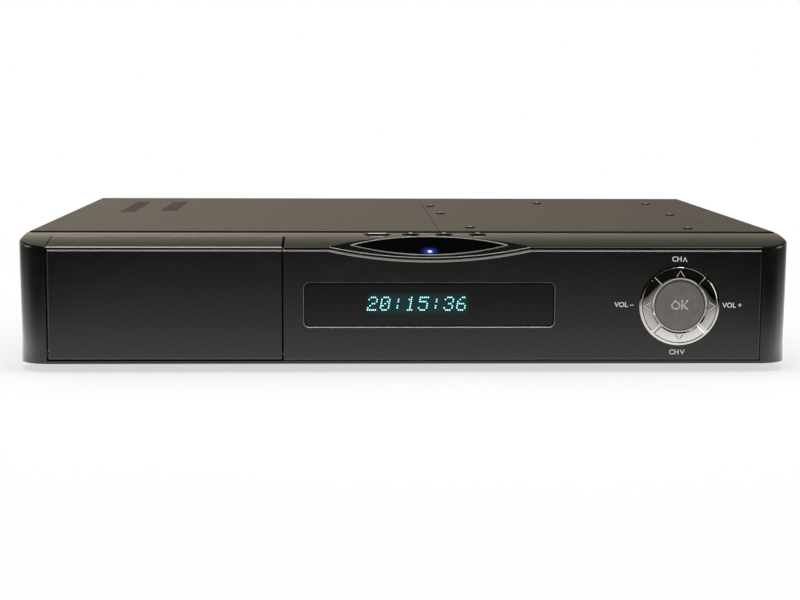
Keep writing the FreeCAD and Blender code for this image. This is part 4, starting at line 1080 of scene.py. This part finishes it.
def floor_look():
    """Pale floor that keeps the shadow near the object and is plain white further out."""
    made = Nodes("floor_look")
    place = made.axes()
    across = made.math("MULTIPLY", place["X"], 0.75)
    squares = made.math("ADD", made.math("POWER", across, 2.0), made.math("POWER", place["Y"], 2.0))
    far = made.math("SQRT", squares, 0.0)
    glow = made.light((1.0, 1.0, 1.0))
    glow.inputs["Strength"].default_value = 1.0
    mixed = made.add("ShaderNodeMixShader")
    made.link(made.spread(far, FADE_NEAR, FADE_FAR, FADE_SHARE, 1.0), mixed.inputs["Fac"])
    made.set(Roughness=0.9, Specular_IOR_Level=0.0)
    patches = made.noise(3.0)
    made.link(made.blend(patches, (0.80, 0.80, 0.80), (0.83, 0.83, 0.83)), made.shader.inputs["Base Color"])
    made.link(made.shader.outputs[0], mixed.inputs[1])
    made.link(glow.outputs[0], mixed.inputs[2])
    made.surface(mixed.outputs[0])
    return made.material


def dome_look():
    """Warm grey wall behind, paler low at the sides, nearly black overhead and in front."""
    made = Nodes("dome_look")
    place = made.axes()
    side = place["X"]
    height = place["Z"]
    behind = made.spread(place["Y"], 0.0, 0.35 * DOME_RADIUS, 0.0, 1.0)
    slope = made.spread(side, -0.25 * DOME_RADIUS, 0.25 * DOME_RADIUS, 1.02, 0.54)
    low = made.spread(height, 0.2 * DOME_RADIUS, 0.8 * DOME_RADIUS, 1.0, 0.02)
    low = made.math("MULTIPLY", low, low)
    wall = made.math("MULTIPLY", made.math("MULTIPLY", behind, slope), low)
    aside = made.math("ABSOLUTE", side, 0.0)
    outward = made.spread(aside, 0.72 * DOME_RADIUS, 0.97 * DOME_RADIUS, 0.0, 0.8)
    near_floor = made.spread(height, 0.05 * DOME_RADIUS, 0.5 * DOME_RADIUS, 1.0, 0.0)
    flank = made.math("MULTIPLY", outward, near_floor)
    level = made.math("ADD", made.math("MAXIMUM", wall, flank), DARK_WALL)
    glow = made.light(WALL_TINT)
    made.link(level, glow.inputs["Strength"])
    made.surface(glow.outputs[0])
    return made.material


def make_dome():
    mesh = bpy.data.meshes.new("studio_dome")
    shell = bmesh.new()
    bmesh.ops.create_uvsphere(shell, u_segments=48, v_segments=24, radius=DOME_RADIUS)
    shell.to_mesh(mesh)
    shell.free()
    only_for_gloss(stage_object("studio_dome", mesh, dome_look()))


def sheen_look():
    """What polished surfaces see of the table: pale beside the object, dim further away."""
    made = Nodes("sheen_look")
    place = made.axes()
    beside = made.math("SUBTRACT", made.math("ABSOLUTE", place["X"], 0.0), SIDE)
    before = made.math("SUBTRACT", FRONT, place["Y"])
    beside_far = made.math("MAXIMUM", beside, 0.0)
    before_far = made.math("MAXIMUM", before, 0.0)

    def fade(distance, reach):
        return made.math("POWER", math.e, made.math("MULTIPLY", distance, -1 / reach))

    ahead = made.math("MULTIPLY", fade(before_far, SHEEN_REACH), fade(beside_far, CORNER_REACH))
    flank = made.math("MULTIPLY", fade(beside_far, FLANK_REACH), fade(before_far, CORNER_REACH))
    flank = made.math("MULTIPLY", flank, made.spread(beside, 0.0, CORNER_REACH, 0.0, FLANK_LEVEL))
    level = made.math("ADD", made.math("MULTIPLY", ahead, SHEEN_LEVEL), flank)
    glow = made.light(TABLE_TINT)
    made.link(level, glow.inputs["Strength"])
    made.surface(glow.outputs[0])
    return made.material


def only_for_gloss(obj):
    obj.visible_camera = False
    obj.visible_diffuse = False
    obj.visible_transmission = False
    obj.visible_shadow = False


def make_stage():
    table = plane("table", STAGE_HALF, -STAGE_HALF, STAGE_HALF, floor_look())
    table.visible_glossy = False
    sheen = plane("table_sheen", STAGE_HALF, -STAGE_HALF, STAGE_HALF, sheen_look())
    sheen.location.z = SHEEN_LIFT
    only_for_gloss(sheen)
    make_dome()


def area_lamp(name, place, target, width, height, power):
    data = bpy.data.lights.new(name, "AREA")
    data.shape = "RECTANGLE"
    data.size = width
    data.size_y = height
    data.energy = power
    lamp = bpy.data.objects.new(name, data)
    bpy.context.scene.collection.objects.link(lamp)
    lamp.location = place
    lamp.rotation_mode = "QUATERNION"
    lamp.rotation_quaternion = (Vector(target) - Vector(place)).to_track_quat("-Z", "Y")
    return lamp


WORLD_LIGHT = 0.4


def make_world():
    """White to the camera and in reflections, softer as a light."""
    world = bpy.data.worlds.new("studio")
    bpy.context.scene.world = world
    world.use_nodes = True
    tree = world.node_tree
    back = tree.nodes["Background"]
    ways = tree.nodes.new("ShaderNodeLightPath")
    seen = ways.outputs["Is Camera Ray"]
    for kind in ("Is Glossy Ray", "Is Transmission Ray"):
        either = tree.nodes.new("ShaderNodeMath")
        either.operation = "MAXIMUM"
        tree.links.new(seen, either.inputs[0])
        tree.links.new(ways.outputs[kind], either.inputs[1])
        seen = either.outputs[0]
    reach = tree.nodes.new("ShaderNodeMapRange")
    reach.inputs["To Min"].default_value = WORLD_LIGHT
    reach.inputs["To Max"].default_value = 1.0
    tree.links.new(seen, reach.inputs["Value"])
    tree.links.new(reach.outputs["Result"], back.inputs["Strength"])
    back.inputs["Color"].default_value = (1.0, 1.0, 1.0, 1.0)


make_stage()
make_world()
area_lamp("lamp_strip", (0.0, FRONT, 1.1), (0, FRONT, 0), 0.9, 0.4, 6.0)
fill = area_lamp("lamp_fill", (0.0, 0.35, 1.2), (0, 0, 0), 1.8, 1.8, 11.0)
fill.visible_glossy = False
for lamp_name, across in (("lamp_left", -1.3), ("lamp_right", 1.3)):
    area_lamp(lamp_name, (across, -0.2, 0.35), (0, -0.1, 0.0), 0.5, 0.5, 3.0)

view = bpy.context.scene.view_settings
view.view_transform = "Standard"
